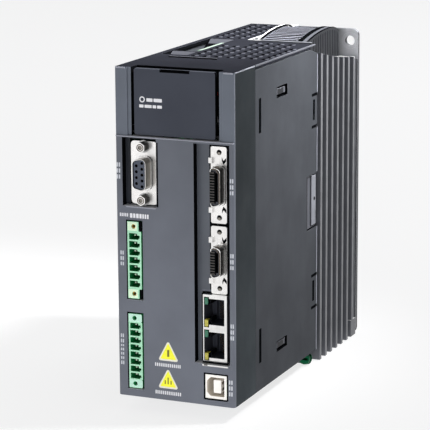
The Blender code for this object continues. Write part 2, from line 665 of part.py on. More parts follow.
def heat_sink():
    """Aluminium extrusion: base beside the power stage, front wall, and fins with a concave top line."""
    tall = (SINK_BOTTOM, SINK_EDGE_TOP)
    base = solid("heat_sink", box(SINK_BASE_X, (SINK_FRONT_Y[0], FIN_BACK_Y), tall), "fin_aluminium")
    fins = new_shape()
    inner = SINK_BASE_X[1] - 0.8
    add_box(fins, (inner, 57.6), SINK_FRONT_Y, tall)
    for k in range(FIN_COUNT):
        y = FIRST_FIN_Y + k * FIN_PITCH
        add_box(fins, (inner, BODY_WIDTH), (y - FIN_THICKNESS / 2, y + FIN_THICKNESS / 2), tall)
    join(base, fins)
    join(base, box((50.0, BODY_WIDTH - 0.01), (160.0, FIN_BACK_Y), (SINK_BOTTOM + 0.01, 2.0)))
    join(base, box((56.0, 59.2), (101.6, SINK_FRONT_Y[0] + 1.5), (66.4, 91.2)))
    depths = [109.0 + 6.2 * k for k in range(10)]
    roof = [(109.0, 165.0)]
    roof += [(y, arc_height(y)) for y in depths]
    roof += [(FIN_BACK_Y + 1, arc_height(FIN_BACK_Y)), (FIN_BACK_Y + 1, 165.0)]
    cut(base, prism(roof, "x", SINK_BASE_X[1], BODY_WIDTH + 1))
    half = FAN_SIDE / 2 + 0.6
    seat = [(centre - half, centre + half) for centre in FAN_CENTRE]
    cut(base, box(*seat, (FAN_Z[0] - GAP, 165.0)))
    notches = new_shape()
    add_box(notches, (20.0, SINK_BASE_X[1] + 0.2), (126.0, 129.0), (SINK_EDGE_TOP - 2.6, 165.0))
    add_prism(notches, circle((105.0, 78.4), 1.0, 10), "x", 57.8, 61.0)
    cut(base, notches)
    return base


def wall_plate():
    """Plate that hangs the drive on the wall by a round hole and a slot, each with a raised screw seat."""
    outline = rounded_rectangle((0.0, BODY_WIDTH), (SINK_BOTTOM, PLATE_TOP), 3.0)
    plate = solid("wall_plate", prism(outline, "y", *PLATE_Y), "plate_aluminium")
    seat_y = (PLATE_Y[0] - SCREW_SEAT_RISE, PLATE_Y[0] + 0.5)
    join(plate, prism(circle(MOUNT_HOLE, SCREW_SEAT_RADIUS, 24), "y", *seat_y))
    join(plate, box((0.6, 9.6), seat_y, (SINK_BOTTOM + 0.4, -0.5)))
    holes = new_shape()
    add_prism(holes, circle(MOUNT_HOLE, MOUNT_HOLE_RADIUS, 24), "y", PLATE_Y[0] - 1, PLATE_Y[1] + 1)
    below = SINK_BOTTOM - 1
    slot = [(MOUNT_SLOT[0] - MOUNT_HOLE_RADIUS, below), (MOUNT_SLOT[0] + MOUNT_HOLE_RADIUS, below)]
    slot += [on_circle(MOUNT_SLOT, MOUNT_HOLE_RADIUS, math.pi * k / 8) for k in range(9)]
    add_prism(holes, slot, "y", PLATE_Y[0] - 1, PLATE_Y[1] + 1)
    cut(plate, holes)
    return plate


def hood_profile(inset, drop, floor):
    """Side outline of the hood, from a floor line that follows the fins' tops to its arch."""
    front, back = HOOD_Y[0] + inset, HOOD_Y[1] - inset
    steps = 10
    lower = []
    upper = []
    for k in range(steps + 1):
        y = front + (back - front) * k / steps
        lower.append((y, arc_height(y) + floor))
        upper.append((y, hood_height(y, inset + drop)))
    return lower + upper[::-1]


def fan_hood():
    """Black hood over the fan: arched, grilled on top, with a raised rail along its right edge."""
    rail_x = (HOOD_X[1] - HOOD_RAIL, HOOD_X[1])
    above_fins, below_fins = 0.5, -7.5
    roof = prism(hood_profile(0.0, HOOD_RAIL_RISE, above_fins), "x", HOOD_X[0], rail_x[0] + 1.0)
    hood = solid("fan_hood", roof, "black_plastic", smooth=True)
    join(hood, prism(hood_profile(0.0, 0.0, above_fins), "x", *rail_x))
    hollow = hood_profile(HOOD_WALL, HOOD_RAIL_RISE, below_fins)
    cut(hood, prism(hollow, "x", HOOD_X[0] + HOOD_WALL, HOOD_X[1] - HOOD_WALL))
    grille = new_shape()
    for k in range(14):
        y = HOOD_Y[0] + 4.0 + 2.9 * k
        add_box(grille, (HOOD_X[0] + 2.4, rail_x[0] - 1.8), (y - 0.8, y + 0.8), (153.0, 165.0))
    cut(hood, grille)
    return hood


def fan():
    """Axial fan: square frame with crossed stays and a motor seat, and a seven-bladed rotor."""
    x, y = FAN_CENTRE
    half = FAN_SIDE / 2
    low, high = FAN_Z
    square = rounded_rectangle((x - half, x + half), (y - half, y + half), 1.5, 2)
    frame = solid("fan_frame", prism(square, "z", low, high), "black_plastic", smooth=True)
    cut(frame, prism(circle((x, y), FAN_BORE_RADIUS, 28), "z", low - 1, high + 1))
    reach = FAN_BORE_RADIUS + 0.5
    join(frame, box((x - 0.8, x + 0.8), (y - reach, y + reach), (low + 0.05, low + 1.2)))
    join(frame, box((x - reach, x + reach), (y - 0.8, y + 0.8), (low + 0.1, low + 1.15)))
    join(frame, prism(circle((x, y), 4.2, 16), "z", low + 0.15, low + 1.6))

    pivot = (x, y, low)
    rotor_low, rotor_high = low + 2.2, high - 0.6
    hub = prism(circle((x, y), 4.6, 21), "z", rotor_low, rotor_high)
    rotor = solid("fan_rotor", hub, "black_plastic", smooth=True, pivot=pivot)
    blades = new_shape()
    count = 7
    middle = Vector((x, y, (rotor_low + rotor_high) / 2))
    tilt = Matrix.Rotation(math.radians(38), 4, "X")
    blade = Matrix.Translation((7.3, 0.0, 0.0)) @ tilt @ Matrix.Diagonal((6.6, 7.0, 0.7, 1.0))
    for k in range(count):
        turn = Matrix.Rotation(2 * math.pi * k / count, 4, "Z")
        bmesh.ops.create_cube(blades, size=1.0, matrix=Matrix.Translation(middle) @ turn @ blade)
    join(rotor, blades)
    return rotor


def ground_screw(name, x):
    """Green pan-head earth screw in the foot of the heat sink's front wall."""
    z = GROUND_SCREW_Z
    pan = prism(circle((x, z), 3.1, 16), "y", 100.6, SINK_FRONT_Y[0] - GAP)
    head = solid(name, pan, "screw_green", smooth=True)
    cross = new_shape()
    add_box(cross, (x - 2.0, x + 2.0), (99.0, 101.9), (z - 0.4, z + 0.4))
    cut(head, cross)


# ---------------------------------------------------------------- electronics


def insulation_sheets():
    """Thin black film behind each side cover; the right one lets the inner frame's hooks through."""
    film_y, film_z = (26.6, 101.0), (4.0, 149.6)
    solid("left_insulation_sheet", box((2.25, 2.4), film_y, film_z), "black_plastic")
    right = solid("right_insulation_sheet", box((57.6, 57.75), film_y, film_z), "black_plastic")
    hook_holes = new_shape()
    for z in HOOKS_Z:
        add_box(hook_holes, (57.0, 58.4), (54.4, 63.8), (z - 2.1, z + 2.1))
    cut(right, hook_holes)


def electronics():
    """Boards and the larger parts of the power stage, each standing clear of its neighbours."""
    solid("interface_board", box((2.7, 3.9), (7.0, 60.0), (2.6, 124.0)), "board_green")
    solid("control_board", box((56.5, 57.3), (7.0, 50.0), (2.6, 136.0)), "board_green")
    solid("power_board", box((16.8, 18.2), (30.0, 165.0), (16.0, 141.0)), "board_green")
    solid("power_module", box((18.5, 23.9), (112.0, 158.0), (70.0, 104.0)), "black_plastic")
    solid("bridge_rectifier", box((30.0, 50.0), (98.6, 103.2), (60.0, 82.0)), "black_plastic")
    for name, z in (("bus_capacitor_upper", 104.0), ("bus_capacitor_lower", 75.0)):
        can = prism(circle((60.0, z), 13.0, 24), "x", 18.6, 49.6)
        solid(name, can, "capacitor_sleeve", smooth=True)
    solid("switching_transformer", box((18.6, 40.0), (76.0, 96.0), (112.0, 134.0)), "winding_tape")
    solid("inrush_relay", box((18.6, 34.0), (78.0, 96.0), (92.0, 104.0)), "black_plastic")
    choke = prism(circle((62.0, 40.0), 13.0, 24), "x", 18.6, 31.0)
    choke = solid("common_mode_choke", choke, "ferrite", smooth=True)
    cut(choke, prism(circle((62.0, 40.0), 6.5, 20), "x", 17.0, 33.0))


def build():
    for leftover in list(bpy.data.objects):
        bpy.data.objects.remove(leftover, do_unlink=True)
    front_shell()
    side_cover("left_side_cover", 0.0, right=False)
    side_cover("right_side_cover", BODY_WIDTH - PLASTIC, right=True)
    top_vent_cover()
    bottom_cover()
    inner_frame()
    display_door()
    hinge_pin()
    keypad_panel()
    display_parts()
    keys()
    encoder_port()
    header("io_header", IO_HEADER_X, IO_HEADER_Z, 4.6, 1.3, IO_PITCH, 7)
    header("safety_header", SAFETY_HEADER_X, SAFETY_HEADER_Z, 4.1, 0.5, SAFETY_PITCH, 8)
    ribbon_port("command", COMMAND_Z)
    ribbon_port("feedback", FEEDBACK_Z)
    network_port()
    usb_port()
    power_headers()
    heat_sink()
    wall_plate()
    fan_hood()
    fan()
    ground_screw("ground_screw_right", 55.8)
    ground_screw("ground_screw_left", 45.0)
    insulation_sheets()
    electronics()


build()
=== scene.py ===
import json
import math
import random

import bmesh
import bpy
from mathutils import Matrix, Vector

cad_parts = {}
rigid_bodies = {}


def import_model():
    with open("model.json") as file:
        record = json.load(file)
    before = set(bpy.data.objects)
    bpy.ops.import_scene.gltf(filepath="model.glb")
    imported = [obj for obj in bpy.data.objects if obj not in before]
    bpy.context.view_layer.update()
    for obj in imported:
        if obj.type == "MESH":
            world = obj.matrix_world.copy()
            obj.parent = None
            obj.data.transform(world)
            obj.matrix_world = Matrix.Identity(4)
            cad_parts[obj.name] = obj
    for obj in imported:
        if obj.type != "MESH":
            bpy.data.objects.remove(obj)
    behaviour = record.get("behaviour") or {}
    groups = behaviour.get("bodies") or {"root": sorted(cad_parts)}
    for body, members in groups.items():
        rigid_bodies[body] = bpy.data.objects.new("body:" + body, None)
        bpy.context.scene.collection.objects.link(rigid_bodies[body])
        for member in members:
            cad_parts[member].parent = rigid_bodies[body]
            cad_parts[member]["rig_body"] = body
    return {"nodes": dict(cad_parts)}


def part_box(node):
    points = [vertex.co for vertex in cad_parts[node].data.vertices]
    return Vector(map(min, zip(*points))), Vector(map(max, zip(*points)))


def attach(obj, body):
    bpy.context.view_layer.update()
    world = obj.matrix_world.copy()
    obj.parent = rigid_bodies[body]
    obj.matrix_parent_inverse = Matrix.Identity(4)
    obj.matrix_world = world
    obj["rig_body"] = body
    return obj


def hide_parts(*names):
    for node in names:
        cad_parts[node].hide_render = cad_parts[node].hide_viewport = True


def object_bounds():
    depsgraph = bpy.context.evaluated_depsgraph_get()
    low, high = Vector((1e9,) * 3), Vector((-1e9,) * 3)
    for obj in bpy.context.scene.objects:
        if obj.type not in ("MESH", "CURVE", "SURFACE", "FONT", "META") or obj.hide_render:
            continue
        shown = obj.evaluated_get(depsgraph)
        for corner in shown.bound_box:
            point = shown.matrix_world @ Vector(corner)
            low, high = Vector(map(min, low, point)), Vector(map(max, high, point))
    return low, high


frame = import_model()
cad_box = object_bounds()

# Detail is laid out in millimetres from the front shell's lower left front corner: x right, y back, z up.
MM = 0.001
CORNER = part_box("front_shell")[0]
scene = bpy.context.scene
LEDGE_HEIGHT = 125.4        # top of the proud lower panel
MARK_DEPTH = (-0.03, 0.08)  # printed bars on the panel
# The gaps' dark strips on the panel and on the bay floors are painted shadow.
GAP_DEPTH = (-0.03, 0.1)    # dark gaps round the cut-outs in the panel
BAY_DEPTH = (3.93, 4.1)     # dark gaps on the floor of the connector bays


def span(node):
    """A CAD node's low and high corners, in millimetres from the body's corner."""
    low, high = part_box(node)
    return (low - CORNER) / MM, (high - CORNER) / MM


# ---- node helpers


def colour(code):
    """Linear colour from a six-digit hexadecimal screen colour."""
    parts = [int(code[k:k + 2], 16) / 255 for k in (0, 2, 4)]
    return tuple(p / 12.92 if p <= 0.04045 else ((p + 0.055) / 1.055) ** 2.4 for p in parts)


def start_material(name, roughness=0.5, metallic=0.0, **sockets):
    """A new material's node tree and shader, with constant values on the shader's own sockets."""
    made = bpy.data.materials.new(name)
    made.use_nodes = True
    shader = made.node_tree.nodes["Principled BSDF"]
    shader.inputs["Roughness"].default_value = roughness
    shader.inputs["Metallic"].default_value = metallic
    for socket, value in sockets.items():
        shader.inputs[socket.replace("_", " ")].default_value = value
    return made, made.node_tree, shader


def object_points(tree, stretch=(1.0, 1.0, 1.0)):
    """Object coordinates, stretched to draw a pattern out along an axis."""
    source = tree.nodes.new("ShaderNodeTexCoord")
    mapping = tree.nodes.new("ShaderNodeMapping")
    mapping.inputs["Scale"].default_value = stretch
    tree.links.new(source.outputs["Object"], mapping.inputs["Vector"])
    return mapping.outputs["Vector"]


def noise(tree, points, size, detail=2.0, roughness=0.5):
    """Noise whose grains are about a size across, in millimetres."""
    made = tree.nodes.new("ShaderNodeTexNoise")
    made.inputs["Scale"].default_value = 1 / (size * MM)
    made.inputs["Detail"].default_value = detail
    made.inputs["Roughness"].default_value = roughness
    tree.links.new(points, made.inputs["Vector"])
    return made.outputs["Fac"]


def remap(tree, value, source, target):
    made = tree.nodes.new("ShaderNodeMapRange")
    for socket, number in zip(("From Min", "From Max", "To Min", "To Max"), (*source, *target)):
        made.inputs[socket].default_value = number
    tree.links.new(value, made.inputs["Value"])
    return made.outputs["Result"]


def math_node(tree, operation, first, second):
    made = tree.nodes.new("ShaderNodeMath")
    made.operation = operation
    for socket, value in zip(made.inputs, (first, second)):
        if isinstance(value, (int, float)):
            socket.default_value = value
        else:
            tree.links.new(value, socket)
    return made.outputs["Value"]


def mix(tree, share, first, second, blend="MIX"):
    """Mixes two colours, each a socket or a linear triple."""
    made = tree.nodes.new("ShaderNodeMix")
    made.data_type = "RGBA"
    made.blend_type = blend
    sockets = [s for s in made.inputs if s.type == "RGBA"]
    for socket, value in zip(sockets, (first, second)):
        if isinstance(value, tuple):
            socket.default_value = (*value, 1.0)
        else:
            tree.links.new(value, socket)
    factor = made.inputs["Factor"]
    if isinstance(share, (int, float)):
        factor.default_value = share
    else:
        tree.links.new(share, factor)
    return next(s for s in made.outputs if s.type == "RGBA")


def edge_share(tree, radius):
    """How close a point is to an edge: 0 on flat faces and 1 on sharp edges."""
    rounded = tree.nodes.new("ShaderNodeBevel")
    rounded.samples = 4
    rounded.inputs["Radius"].default_value = radius * MM
    facing = tree.nodes.new("ShaderNodeNewGeometry")
    product = tree.nodes.new("ShaderNodeVectorMath")
    product.operation = "DOT_PRODUCT"
    tree.links.new(rounded.outputs["Normal"], product.inputs[0])
    tree.links.new(facing.outputs["True Normal"], product.inputs[1])
    return remap(tree, product.outputs["Value"], (0.998, 0.9), (0.0, 1.0))


def add_bump(tree, shader, height, depth, strength):
    """Bumps the shader's normal by a height field that is a depth deep, in millimetres."""
    made = tree.nodes.new("ShaderNodeBump")
    made.inputs["Strength"].default_value = strength
    made.inputs["Distance"].default_value = depth * MM
    tree.links.new(height, made.inputs["Height"])
    tree.links.new(made.outputs["Normal"], shader.inputs["Normal"])


# ---- materials


def moulded(name, code, roughness, grain=0.28, depth=0.012, spread=0.1, edge_gain=1.35, lift=0.01, shine=0.5):
    """Spark-textured moulding: fine grain, cloudy gloss, faint flow marks, and paler, rubbed edges."""
    base = colour(code)
    made, tree, shader = start_material(name, roughness, Specular_IOR_Level=shine)
    points = object_points(tree)
    fine = noise(tree, points, grain, 3.0, 0.6)
    cloud = noise(tree, points, 24.0, 4.0, 0.55)
    flow = noise(tree, object_points(tree, (1.0, 1.0, 0.18)), 7.0, 2.0)
    dark = tuple(c * (1 - spread) for c in base)
    light = tuple(min(1.0, c * (1 + spread)) for c in base)
    tint = mix(tree, remap(tree, cloud, (0.35, 0.65), (0.0, 1.0)), dark, light)
    speck = mix(tree, remap(tree, fine, (0.3, 0.7), (0.0, 0.5)), tint, light)
    worn = tuple(min(1.0, c * edge_gain + lift) for c in base)
    rubbed = math_node(tree, "MULTIPLY", edge_share(tree, 0.45), remap(tree, flow, (0.3, 0.7), (0.45, 0.95)))
    tree.links.new(mix(tree, rubbed, speck, worn), shader.inputs["Base Color"])
    gloss = math_node(tree, "ADD", cloud, math_node(tree, "MULTIPLY", flow, 0.5))
    limits = (roughness + 0.06, roughness - 0.06)
    tree.links.new(remap(tree, gloss, (0.5, 1.0), limits), shader.inputs["Roughness"])
    add_bump(tree, shader, fine, depth, 0.6)
    return made


def metal(name, code, roughness, stretch=(1.0, 1.0, 0.03), line=0.25, depth=0.01, metallic=1.0):
    """Drawn or plated metal: fine lines along one axis, cloudy smudges, and tarnish in patches."""
    base = colour(code)
    made, tree, shader = start_material(name, roughness, metallic)
    lines = noise(tree, object_points(tree, stretch), line, 2.0, 0.6)
    cloud = noise(tree, object_points(tree), 9.0, 4.0, 0.6)
    dull = tuple(c * 0.82 for c in base)
    tint = mix(tree, remap(tree, cloud, (0.38, 0.68), (0.0, 1.0)), base, dull)
    streaked = mix(tree, remap(tree, lines, (0.3, 0.7), (0.0, 0.35)), tint, tuple(c * 0.7 for c in base))
    bright = tuple(min(1.0, c * 1.25) for c in base)
    tree.links.new(mix(tree, edge_share(tree, 0.35), streaked, bright), shader.inputs["Base Color"])
    both = math_node(tree, "ADD", cloud, math_node(tree, "MULTIPLY", lines, 0.6))
    limits = (roughness - 0.08, roughness + 0.08)
    tree.links.new(remap(tree, both, (0.55, 1.05), limits), shader.inputs["Roughness"])
    add_bump(tree, shader, lines, depth, 0.5)
    return made


def paint_shade_along(made, low, high, dark, axis="X"):
    """Paints shade into a material's colour along an axis, from low (darkest) to high, in millimetres of the
    frame.
    """
    tree = made.node_tree
    shader = tree.nodes["Principled BSDF"]
    source = shader.inputs["Base Color"].links[0].from_socket
    split = tree.nodes.new("ShaderNodeSeparateXYZ")
    tree.links.new(object_points(tree), split.inputs["Vector"])
    shade = remap(tree, split.outputs[axis], (low * MM, high * MM), (dark, 1.0))
    tree.links.new(mix(tree, 1.0, source, shade, "MULTIPLY"), shader.inputs["Base Color"])


def smooth_plastic(name, code, roughness, depth=0.005, **settings):
    """Moulding with a finer, shallower grain than the housing's."""
    return moulded(name, code, roughness, 0.2, depth, **settings)


def clear_lens(name, code, glow=0.0):
    """Tinted clear lens with a frosted core."""
    base = colour(code)
    made, tree, shader = start_material(name, 0.18, IOR=1.49, Coat_Weight=0.6, Emission_Strength=glow)
    points = object_points(tree)
    core = noise(tree, points, 1.2, 2.0)
    tint = mix(tree, remap(tree, core, (0.3, 0.7), (0.0, 1.0)), tuple(c * 0.65 for c in base), base)
    tree.links.new(tint, shader.inputs["Base Color"])
    tree.links.new(tint, shader.inputs["Emission Color"])
    tree.links.new(remap(tree, core, (0.3, 0.7), (0.12, 0.3)), shader.inputs["Roughness"])
    add_bump(tree, shader, noise(tree, points, 0.5), 0.02, 0.4)
    return made


def ink(name, code, roughness=0.55):
    """Screen-printed ink with pinholes, thin at its edges."""
    base = colour(code)
    made, tree, shader = start_material(name, roughness)
    points = object_points(tree)
    body = noise(tree, points, 0.22, 3.0, 0.7)
    patch = noise(tree, points, 2.5, 2.0)
    thin = tuple(c * 0.8 for c in base)
    share = math_node(tree, "MULTIPLY", remap(tree, body, (0.35, 0.7), (0.0, 0.8)), patch)
    tree.links.new(mix(tree, share, base, thin), shader.inputs["Base Color"])
    limits = (roughness - 0.1, roughness + 0.1)
    tree.links.new(remap(tree, body, (0.3, 0.7), limits), shader.inputs["Roughness"])
    add_bump(tree, shader, body, 0.01, 0.5)
    return made


def circuit(name, code):
    """Solder resist over copper: a grid of tracks, plated dots and a weave under the green."""
    base = colour(code)
    made, tree, shader = start_material(name, 0.35, Coat_Weight=0.3)
    points = object_points(tree)
    tracks = tree.nodes.new("ShaderNodeTexBrick")
    tracks.inputs["Scale"].default_value = 1 / (9.0 * MM)
    tracks.inputs["Mortar Size"].default_value = 0.03
    tracks.inputs["Color1"].default_value = (*base, 1.0)
    tracks.inputs["Color2"].default_value = (*(c * 0.8 for c in base), 1.0)
    tracks.inputs["Mortar"].default_value = (*(min(1.0, c * 2.2) for c in base), 1.0)
    turned = tree.nodes.new("ShaderNodeMapping")
    turned.inputs["Rotation"].default_value = (math.pi / 2, 0.0, math.pi / 2)
    tree.links.new(points, turned.inputs["Vector"])
    tree.links.new(turned.outputs["Vector"], tracks.inputs["Vector"])
    dots = tree.nodes.new("ShaderNodeTexVoronoi")
    dots.inputs["Scale"].default_value = 1 / (3.2 * MM)
    tree.links.new(points, dots.inputs["Vector"])
    solder = remap(tree, dots.outputs["Distance"], (0.16, 0.12), (0.0, 1.0))
    tree.links.new(mix(tree, solder, tracks.outputs["Color"], colour("b9bcb8")), shader.inputs["Base Color"])
    tree.links.new(remap(tree, solder, (0.0, 1.0), (0.35, 0.25)), shader.inputs["Roughness"])
    add_bump(tree, shader, noise(tree, points, 0.5), 0.02, 0.4)
    return made


def wound(name, code, pitch, second):
    """Wire or tape laid in turns: bands with a dark line between them."""
    made, tree, shader = start_material(name, 0.4, Coat_Weight=0.25)
    bands = tree.nodes.new("ShaderNodeTexWave")
    bands.bands_direction = "Z"
    bands.inputs["Scale"].default_value = 1 / (pitch * MM * 20)
    bands.inputs["Distortion"].default_value = 0.4
    tree.links.new(object_points(tree), bands.inputs["Vector"])
    tree.links.new(mix(tree, bands.outputs["Fac"], colour(second), colour(code)), shader.inputs["Base Color"])
    tree.links.new(remap(tree, bands.outputs["Fac"], (0.0, 1.0), (0.55, 0.3)), shader.inputs["Roughness"])
    add_bump(tree, shader, bands.outputs["Fac"], 0.15, 0.6)
    return made


# The shell's grey is painted darker towards the top of the front: painted shade.
SHELL = moulded("shell_grey", "5a5e68", 0.46)
paint_shade_along(SHELL, 50.0, -30.0, 0.82, "Z")
PILLAR = moulded("pillar_grey", "545a65", 0.42)
# A darker copy of the shell's grey for its sides and back, painted shade, painted darker still towards the
# top.
SIDE_IN_SHADE = moulded("shell_side_painted_shade", "2b3135", 0.52, shine=0.05)
paint_shade_along(SIDE_IN_SHADE, 30.0, -75.0, 0.45, "Z")
# A near-white copy of the shell's grey for the upward faces of the ledge and the bays: painted highlight.
UPWARD_HIGHLIGHT = moulded("ledge_painted_highlight", "cfd0d4", 0.45)
# Darker copies of the shell's grey for the floors of the left and right connector bays: painted shade.
ENCODER_FLOOR_SHADE = moulded("recess_painted_shade", "272a30", 0.5, shine=0.25)
RIGHT_FLOOR_SHADE = moulded("bay_painted_shade", "4c5058", 0.46)
# A pale grey for thin beads along edges: painted highlight.
PALE_EDGE_GLINT = moulded("bead_painted_highlight", "83858f", 0.4)
DOOR = moulded("door_grey", "30343f", 0.42, shine=0.3)
COVER = moulded("cover_grey", "35373b", 0.5, shine=0.02)
# A much darker grey for the shell's top face and the top and bottom covers: painted shade.
UPPER_SHADE = moulded("top_painted_shade", "202126", 0.6, shine=0.0)
# A paler grey for the lips round the top vents: painted highlight.
VENT_GLINT = moulded("vent_rim_painted_highlight", "45464d", 0.5, shine=0.02)
# A paler copy of the top's grey for sloped and raised faces, the covers' inset faces, catch tongues and top
# edge: painted highlight.
SLOPE_HIGHLIGHT = moulded("ramp_painted_highlight", "47484e", 0.45, shine=0.1)
# Satin black for black parts, and also for gap walls, hole walls, holes and strips where it is painted
# shadow.
SATIN_AND_SHADOW = moulded("black_satin_and_painted_shadow", "090a0c", 0.5, edge_gain=1.3, lift=0.0005, shine=0.0)
SOCKET = moulded("socket_grey", "2b2d34", 0.5, shine=0.2)
HOOD = moulded("hood_black", "1e1f22", 0.5, edge_gain=1.6, shine=0.1)
# Paler greys for the black hood's upward faces, its top and its rail: painted highlight.
MESH = moulded("hood_mesh_painted_highlight", "65666e", 0.5, shine=0.02)
HOOD_BAR_GLINT = moulded("hood_rail_painted_highlight", "494a50", 0.45, shine=0.2)
INSERT = moulded("insert_blue", "3b414e", 0.5, grain=0.15, depth=0.005)
MINT = smooth_plastic("header_mint", "9ed2b2", 0.42)
COMB = moulded("comb_grey", "302d2b", 0.5, grain=0.15, depth=0.005)
# Deep greens for the headers' cell walls and bushes and for the power headers down in their slot: the mint in
# painted shade.
MINT_IN_SHADE = smooth_plastic("header_cell_painted_shade", "127a42", 0.45)
MINT_IN_DEEP_SHADE = smooth_plastic("header_deep_painted_shade", "06130c", 0.5, shine=0.1)
USB_WHITE = smooth_plastic("usb_white", "eeebe6", 0.35, depth=0.004, spread=0.03)
# A darker beige copy of the white for the inside of the USB opening: painted shade.
USB_INNER_SHADE = smooth_plastic("usb_inner_painted_shade", "dcd3c6", 0.4, depth=0.004)
KEY = smooth_plastic("key_grey", "a9abb0", 0.45, depth=0.006)
SLEEVE = moulded("capacitor_sleeve", "20222e", 0.3, grain=1.2, depth=0.02)
FERRITE = moulded("ferrite_grey", "33343a", 0.6, grain=0.3, depth=0.03)
NICKEL = metal("nickel", "faf8f6", 0.3)
# Darker copies of the nickel for sides, post barrels and parts down in holes: painted shade and painted dark
# reflection.
NICKEL_IN_SHADE = metal("nickel_painted_shade", "8d8982", 0.35, stretch=(1.0, 1.0, 0.05), line=0.5)
DARK_NICKEL = metal("nickel_shadow", "3a3834", 0.35, stretch=(1.0, 1.0, 0.05), line=0.5)
BROWN_NICKEL = metal("nickel_brown", "6a6158", 0.35, stretch=(1.0, 1.0, 0.05), line=0.5)
FLANGE_MINT = smooth_plastic("header_flange_mint", "7f8c82", 0.5, shine=0.1)
PALE_MINT = smooth_plastic("header_mint_pale", "cde5c6", 0.45)
COOL_MINT = smooth_plastic("header_mint_cool", "b0d6c4", 0.45)
SCREEN = metal("screen_plate", "f4f3f1", 0.34)
STEEL = metal("steel", "b4b4b4", 0.3, stretch=(0.03, 1.0, 1.0))
DARK_STEEL = metal("dark_steel", "2a2a2c", 0.4, stretch=(0.03, 1.0, 1.0))
PIN = metal("pin_tin", "cfe0cc", 0.45, metallic=0.5)
FIN = metal("fin_aluminium", "64666c", 0.5, line=0.35, depth=0.02, metallic=0.15)
SHADE = metal("plate_shade", "3c3d42", 0.6, line=0.35, depth=0.02, metallic=0.1)
# A pale aluminium for a strip along the plate's edge: painted highlight.
PLATE_LINE_GLINT = metal("aluminium_edge_painted_highlight", "a4a6ab", 0.5, line=0.35, metallic=0.2)
# A copy of the fin aluminium for the fins' outer faces, set apart from their sides: painted light.
OUTER_FIN_LIGHT = metal("fin_outer_painted_light", "626367", 0.45, line=0.35, depth=0.02, metallic=0.3)
# Near-white aluminium: bare metal on the capacitor lids, and painted highlight on the heat sink's top faces
# and along the hood's edge.
BARE_AND_GLINT = metal("bare_aluminium_and_painted_highlight", "f3f3f4", 0.45, stretch=(0.03, 1.0, 1.0), metallic=0.3)
# A darker copy of the plate's aluminium for its edges and back, which tones down their highlight: painted
# shade.
PLATE_IN_SHADE = metal("plate_painted_shade", "8f9196", 0.45, line=0.3, metallic=0.5)
PLATE = metal("plate_aluminium", "e6e7ec", 0.4, line=0.3, metallic=0.25)
# The plate's face is painted darker towards the hood: the hood's painted shadow.
paint_shade_along(PLATE, 17.5, 24.0, 0.15)
EAR = metal("ear_aluminium", "75777f", 0.45, line=0.3, metallic=0.3)
BRASS = metal("contact_gold", "e3b96a", 0.25)
GREEN_SCREW = metal("screw_green", "185c3e", 0.25, line=0.3)
WHITE_INK = ink("white_ink", "dcdce0")
GREY_INK = ink("grey_ink", "c0c3ca")
YELLOW_INK = ink("yellow_ink", "f0ee30", 0.45)
PALE_INK = ink("pale_ink", "dedccc", 0.45)
DARK_INK = ink("dark_ink", "6d6a22", 0.45)
GREEN_LENS = clear_lens("green_lens", "1f6b50")
YELLOW_LENS = clear_lens("yellow_lens", "b5ac3c")
RED_LENS = clear_lens("red_lens", "b3261c")
WINDOW = clear_lens("display_window", "2a0808")
SEGMENT = clear_lens("display_segment", "e2452c", 1.2)
BOARD = circuit("board_green", "145a30")
TAPE = wound("winding_tape", "d2a63c", 1.6, "a87a1e")
WIRE = wound("copper_wire", "c87a3a", 0.9, "6e3a18")


# ---- shapes


def in_space(axis, along, first, second):
    """A point from its place along an axis and its two other coordinates, in x, y, z order."""
    if axis == "x":
        return Vector((along, first, second))
    if axis == "y":
        return Vector((first, along, second))
    return Vector((first, second, along))


def add_prism(shape, outline, axis, low, high):
    corners = [shape.verts.new(in_space(axis, low, a, b)) for a, b in outline]
    base = shape.faces.new(corners)
    grown = bmesh.ops.extrude_face_region(shape, geom=[base])["geom"]
    moved = [part for part in grown if isinstance(part, bmesh.types.BMVert)]
    bmesh.ops.translate(shape, verts=moved, vec=in_space(axis, high - low, 0.0, 0.0))


def add_box(shape, x, y, z):
    add_prism(shape, [(x[0], z[0]), (x[1], z[0]), (x[1], z[1]), (x[0], z[1])], "y", *y)


def circle(centre, radius, sides, start=0.0):
    turns = [start + 2 * math.pi * k / sides for k in range(sides)]
    return [(centre[0] + radius * math.cos(t), centre[1] + radius * math.sin(t)) for t in turns]


def rounded_rect(first, second, radius, steps=4):
    outline = []
    centres = (
        (first[1] - radius, second[1] - radius),
        (first[0] + radius, second[1] - radius),
        (first[0] + radius, second[0] + radius),
        (first[1] - radius, second[0] + radius),
    )
    for corner, centre in enumerate(centres):
        for k in range(steps + 1):
            angle = math.pi / 2 * (corner + k / steps)
            outline.append((centre[0] + radius * math.cos(angle), centre[1] + radius * math.sin(angle)))
    return outline


def add_band(shape, outer, inner, axis, low, high):
    """A closed band between two outlines that have the same number of points."""
    rings = []
    for outline, along in ((outer, low), (outer, high), (inner, high), (inner, low)):
        rings.append([shape.verts.new(in_space(axis, along, a, b)) for a, b in outline])
    count = len(outer)
    for k, ring in enumerate(rings):
        following = rings[(k + 1) % 4]
        for n in range(count):
            shape.faces.new((ring[n], ring[(n + 1) % count], following[(n + 1) % count], following[n]))


def soften(obj, width, segments=2):
    """Smooth shading, with a bevel of a width in millimetres on every real edge."""
    obj.data.shade_smooth()
    if not width:
        obj.data.set_sharp_from_angle(angle=math.radians(35))
        return
    bevel = obj.modifiers.new("soft_edges", "BEVEL")
    bevel.width = width * MM
    bevel.segments = segments
    bevel.limit_method = "ANGLE"
    bevel.angle_limit = math.radians(32)
    bevel.harden_normals = True
    weighted = obj.modifiers.new("flat_faces", "WEIGHTED_NORMAL")
    weighted.keep_sharp = True


